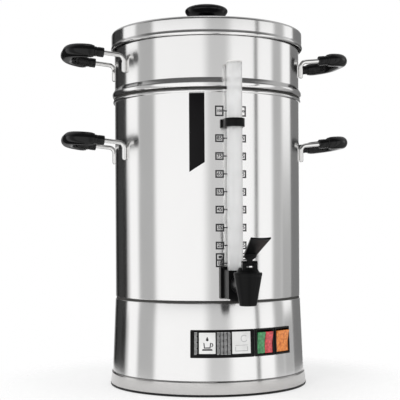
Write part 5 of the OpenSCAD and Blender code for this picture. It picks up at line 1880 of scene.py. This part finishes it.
class Sky:
    """Wires the world's nodes: how bright each direction is in the polish."""

    def __init__(self, name: str, azimuth: float) -> None:
        """Starts an empty world.

        Args:
            name: Name of the world.
            azimuth: Azimuth of the camera, from which directions are counted.
        """
        world = bpy.data.worlds.new(name)
        bpy.context.scene.world = world
        world.use_nodes = True
        self.azimuth = azimuth
        self.tree = world.node_tree
        self.tree.nodes.clear()
        place = self.tree.nodes.new("ShaderNodeTexCoord")
        split = self.tree.nodes.new("ShaderNodeSeparateXYZ")
        self.tree.links.new(place.outputs["Generated"], split.inputs[0])
        back = self.calc("MULTIPLY", split.outputs["Y"], -1.0)
        radians = self.calc("ARCTAN2", split.outputs["X"], back)
        self.turn = self.calc("MULTIPLY", radians, 180.0 / math.pi)
        self.rise = split.outputs["Z"]

    def calc(self, kind: str, a: Socket | float, b: Socket | float = 0.0) -> Socket:
        """Adds a sum.

        Args:
            kind: Blender's name of the operation.
            a: First value.
            b: Second value.

        Returns:
            The result.
        """
        made = self.tree.nodes.new("ShaderNodeMath")
        made.operation = kind
        for socket, value in zip(made.inputs, (a, b)):
            if isinstance(value, Socket):
                self.tree.links.new(value, socket)
            else:
                socket.default_value = value
        return made.outputs[0]

    def blend(self, share: Socket, inside: Socket | float, outside: Socket | float) -> Socket:
        """Blends two values.

        Args:
            share: Share of the first value.
            inside: The first value.
            outside: The second value.

        Returns:
            The blend.
        """
        first = self.calc("MULTIPLY", share, inside)
        rest = self.calc("MULTIPLY", self.calc("SUBTRACT", 1.0, share), outside)
        return self.calc("ADD", first, rest)

    def smooth(self, value: Socket, ends: Pair, levels: Pair) -> Socket:
        """Adds a soft step.

        Args:
            value: What the step follows.
            ends: Where it starts and ends.
            levels: Result before and after it.

        Returns:
            The step.
        """
        made = self.tree.nodes.new("ShaderNodeMapRange")
        made.interpolation_type = "SMOOTHSTEP"
        for name, number in zip(("From Min", "From Max", "To Min", "To Max"), (*ends, *levels)):
            made.inputs[name].default_value = number
        self.tree.links.new(value, made.inputs["Value"])
        return made.outputs["Result"]

    def over(self, ends: Pair, levels: Pair) -> Socket:
        """Returns a soft step between two elevations in degrees."""
        return self.smooth(self.rise, tuple(math.sin(math.radians(angle)) for angle in ends), levels)

    def apart(self, azimuth: float) -> Socket:
        """Adds the angle between a direction and an azimuth.

        Args:
            azimuth: Degrees from the camera.

        Returns:
            The angle in degrees.
        """
        wrapped = self.calc("WRAP", self.calc("SUBTRACT", self.turn, azimuth + self.azimuth), 180.0)
        wrapped.node.inputs[2].default_value = -180.0
        return self.calc("ABSOLUTE", wrapped)

    def screen(self, flag: Flag) -> Socket:
        """Returns what a screen leaves of the light."""
        ends = (flag.half, flag.half + flag.feather)
        return self.smooth(self.apart(flag.azimuth), ends, (flag.level, 1.0))

    def light(self, level: Socket, plain: float) -> None:
        """Ends the world: white where it is seen, plain on matt pieces, the level in the polish.

        Args:
            level: Brightness in the polish.
            plain: Brightness on matt pieces.
        """
        path = self.tree.nodes.new("ShaderNodeLightPath")
        seen = self.calc("MAXIMUM", path.outputs["Is Camera Ray"], path.outputs["Is Transmission Ray"])
        polish = self.blend(path.outputs["Is Glossy Ray"], level, plain)
        light = self.tree.nodes.new("ShaderNodeBackground")
        light.inputs["Color"].default_value = (1.0, 1.0, 1.0, 1.0)
        self.tree.links.new(self.blend(seen, 1.0, polish), light.inputs["Strength"])
        out = self.tree.nodes.new("ShaderNodeOutputWorld")
        self.tree.links.new(light.outputs[0], out.inputs["Surface"])


@dataclass
class Studio:
    """Camera, floor, lamps and the white surroundings with their grey screens."""

    azimuth: float = -14.0
    distance: float = 1.4095
    eye: float = 0.2116
    lens: float = 89.23
    sensor: float = 36.0
    roll: float = -0.308
    shift: Pair = (-0.0189, 0.0815)
    flags: tuple[Flag, ...] = (
        Flag(-138.0, 18.0, 4.0, 0.04), Flag(-164.0, 12.0, 9.0, 0.25), Flag(-80.0, 9.5, 7.5, 0.45),
        Flag(13.0, 7.0, 14.0, 0.62), Flag(62.0, 1.2, 2.4, 0.22), Flag(96.0, 5.0, 8.0, 0.46),
        Flag(145.0, 18.0, 4.0, 0.19),
    )
    low_flags: tuple[Flag, ...] = (Flag(115.0, 7.0, 6.0, 0.4), Flag(-120.0, 5.0, 6.0, 0.5))
    low_reach: Pair = (-1.0, 6.0)
    cornice: Pair = (14.0, 26.0)
    opening: Pair = (74.0, 88.0)
    front: Pair = (75.0, 105.0)
    cornice_level: Pair = (0.1, 0.42)
    plain: float = 0.72
    floor_r: float = 0.36
    floor_fade: Pair = (0.55, 0.97)
    floor_white: float = 0.55
    floor_drop: float = 0.0004
    aim: float = 0.27
    lamps: tuple[Lamp, ...] = (
        Lamp("key_lamp", -52.0, 48.0, 2.2, 1.1, 20.0), Lamp("fill_lamp", 58.0, 42.0, 2.4, 1.3, 9.0),
    )

    def camera(self) -> None:
        """Makes the camera at the photograph's place."""
        data = bpy.data.cameras.new("camera")
        data.lens = self.lens
        data.sensor_width = self.sensor
        data.shift_x, data.shift_y = self.shift
        camera = bpy.data.objects.new("camera", data)
        a = math.radians(self.azimuth)
        camera.matrix_world = (
            Matrix.Translation((math.sin(a) * self.distance, -math.cos(a) * self.distance, self.eye))
            @ Matrix.Rotation(a, 4, "Z") @ Matrix.Rotation(math.pi / 2, 4, "X")
            @ Matrix.Rotation(math.radians(self.roll), 4, "Z")
        )
        bpy.context.scene.collection.objects.link(camera)
        bpy.context.scene.camera = camera

    def floor(self) -> None:
        """Makes the pale floor, which fades into the white surroundings."""
        board = NodeBoard("pale_floor")
        place = board.node("ShaderNodeTexCoord")
        span = board.node("ShaderNodeVectorMath", operation="LENGTH")
        board.wire(place.outputs["Object"], span.inputs[0])
        near, far = (share * self.floor_r for share in self.floor_fade)
        fade = board.node("ShaderNodeMapRange", From_Min=near, From_Max=far)
        fade.interpolation_type = "SMOOTHSTEP"
        board.wire(span.outputs["Value"], fade.inputs["Value"])
        paper = board.node("ShaderNodeBsdfDiffuse")
        board.wire(board.tint(board.grain((60.0, 60.0, 60.0)), (0.93, 0.93, 0.93), (0.95, 0.95, 0.95)),
                   paper.inputs["Color"])
        path = board.node("ShaderNodeLightPath")
        share = board.node("ShaderNodeMath", operation="MULTIPLY")
        share.inputs[1].default_value = self.floor_white
        board.wire(path.outputs["Is Camera Ray"], share.inputs[0])
        white = board.node("ShaderNodeEmission", Strength=1.0)
        pale = board.mix(share.outputs[0], paper, white)
        faded = board.mix(fade.outputs["Result"], pale, board.node("ShaderNodeBsdfTransparent"))
        form = bmesh.new()
        bmesh.ops.create_circle(form, cap_ends=True, radius=self.floor_r, segments=96)
        mesh = bpy.data.meshes.new("floor")
        form.to_mesh(mesh)
        form.free()
        mesh.materials.append(board.surface(faded))
        floor = bpy.data.objects.new("floor", mesh)
        floor.location.z = -self.floor_drop
        bpy.context.scene.collection.objects.link(floor)

    def surroundings(self) -> None:
        """Makes the world: plain light for matt pieces, white behind, grey screens in the polish."""
        sky = Sky("studio", self.azimuth)
        level: Socket | float = 1.0
        for flag in self.flags:
            level = sky.calc("MULTIPLY", level, sky.screen(flag))
        reach = sky.over(self.low_reach, (1.0, 0.0))
        for flag in self.low_flags:
            level = sky.calc("MULTIPLY", level, sky.blend(reach, sky.screen(flag), 1.0))
        below = sky.over(self.cornice, (1.0, 0.0))
        shade = sky.smooth(sky.apart(0.0), self.front, self.cornice_level)
        above = sky.blend(sky.over(self.opening, (0.0, 1.0)), 1.0, shade)
        sky.light(sky.blend(below, level, above), self.plain)

    def build(self) -> None:
        """Sets up the studio."""
        self.camera()
        self.floor()
        for lamp in self.lamps:
            lamp.build(Vector((0, 0, self.aim)))
        self.surroundings()
        bpy.context.scene.view_settings.view_transform = "Standard"


def main() -> None:
    """Builds the studio and every sub-assembly."""
    logging.basicConfig(level=logging.INFO, format="%(name)s: %(message)s")
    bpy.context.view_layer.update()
    bench = Bench()
    Studio().build()
    stand = Stand(bench)
    stand.build()
    Tank(bench).build()
    FilterSection(bench).build()
    Lid(bench).build()
    for side in Side:
        word = side.name.lower()
        for level, body in (("tank", Body.BASE), ("filter", Body.FILTER)):
            name = f"{word}_{level}"
            LoopHandle(bench, name, side, body, (f"{name}_handle", f"{name}_grip")).build()
    SightGauge(bench).build()
    CupScale(bench).build()
    LeverTap(bench).build()
    ControlPanel(bench, stand).build()
    RockerSwitch(bench, stand, "double_switch", stand.double_azimuth, "double_switch_housing", (
        Rocker("green_rocker", Body.GREEN, LENS_GREEN, -6.3, 12.0, "green_lens"),
        Rocker("red_rocker", Body.RED, LENS_RED, 6.3, 12.0, "red_lens"),
    )).build()
    RockerSwitch(bench, stand, "single_switch", stand.single_azimuth, "single_switch_housing", (
        Rocker("orange_rocker", Body.ORANGE, LENS_ORANGE, 0.0, 24.6, "orange_lens"),
    )).build()
    PowerInlet(bench).build()
    LOG.info("%d pieces made", len(bench.made))


if __name__ == "__main__":
    main()
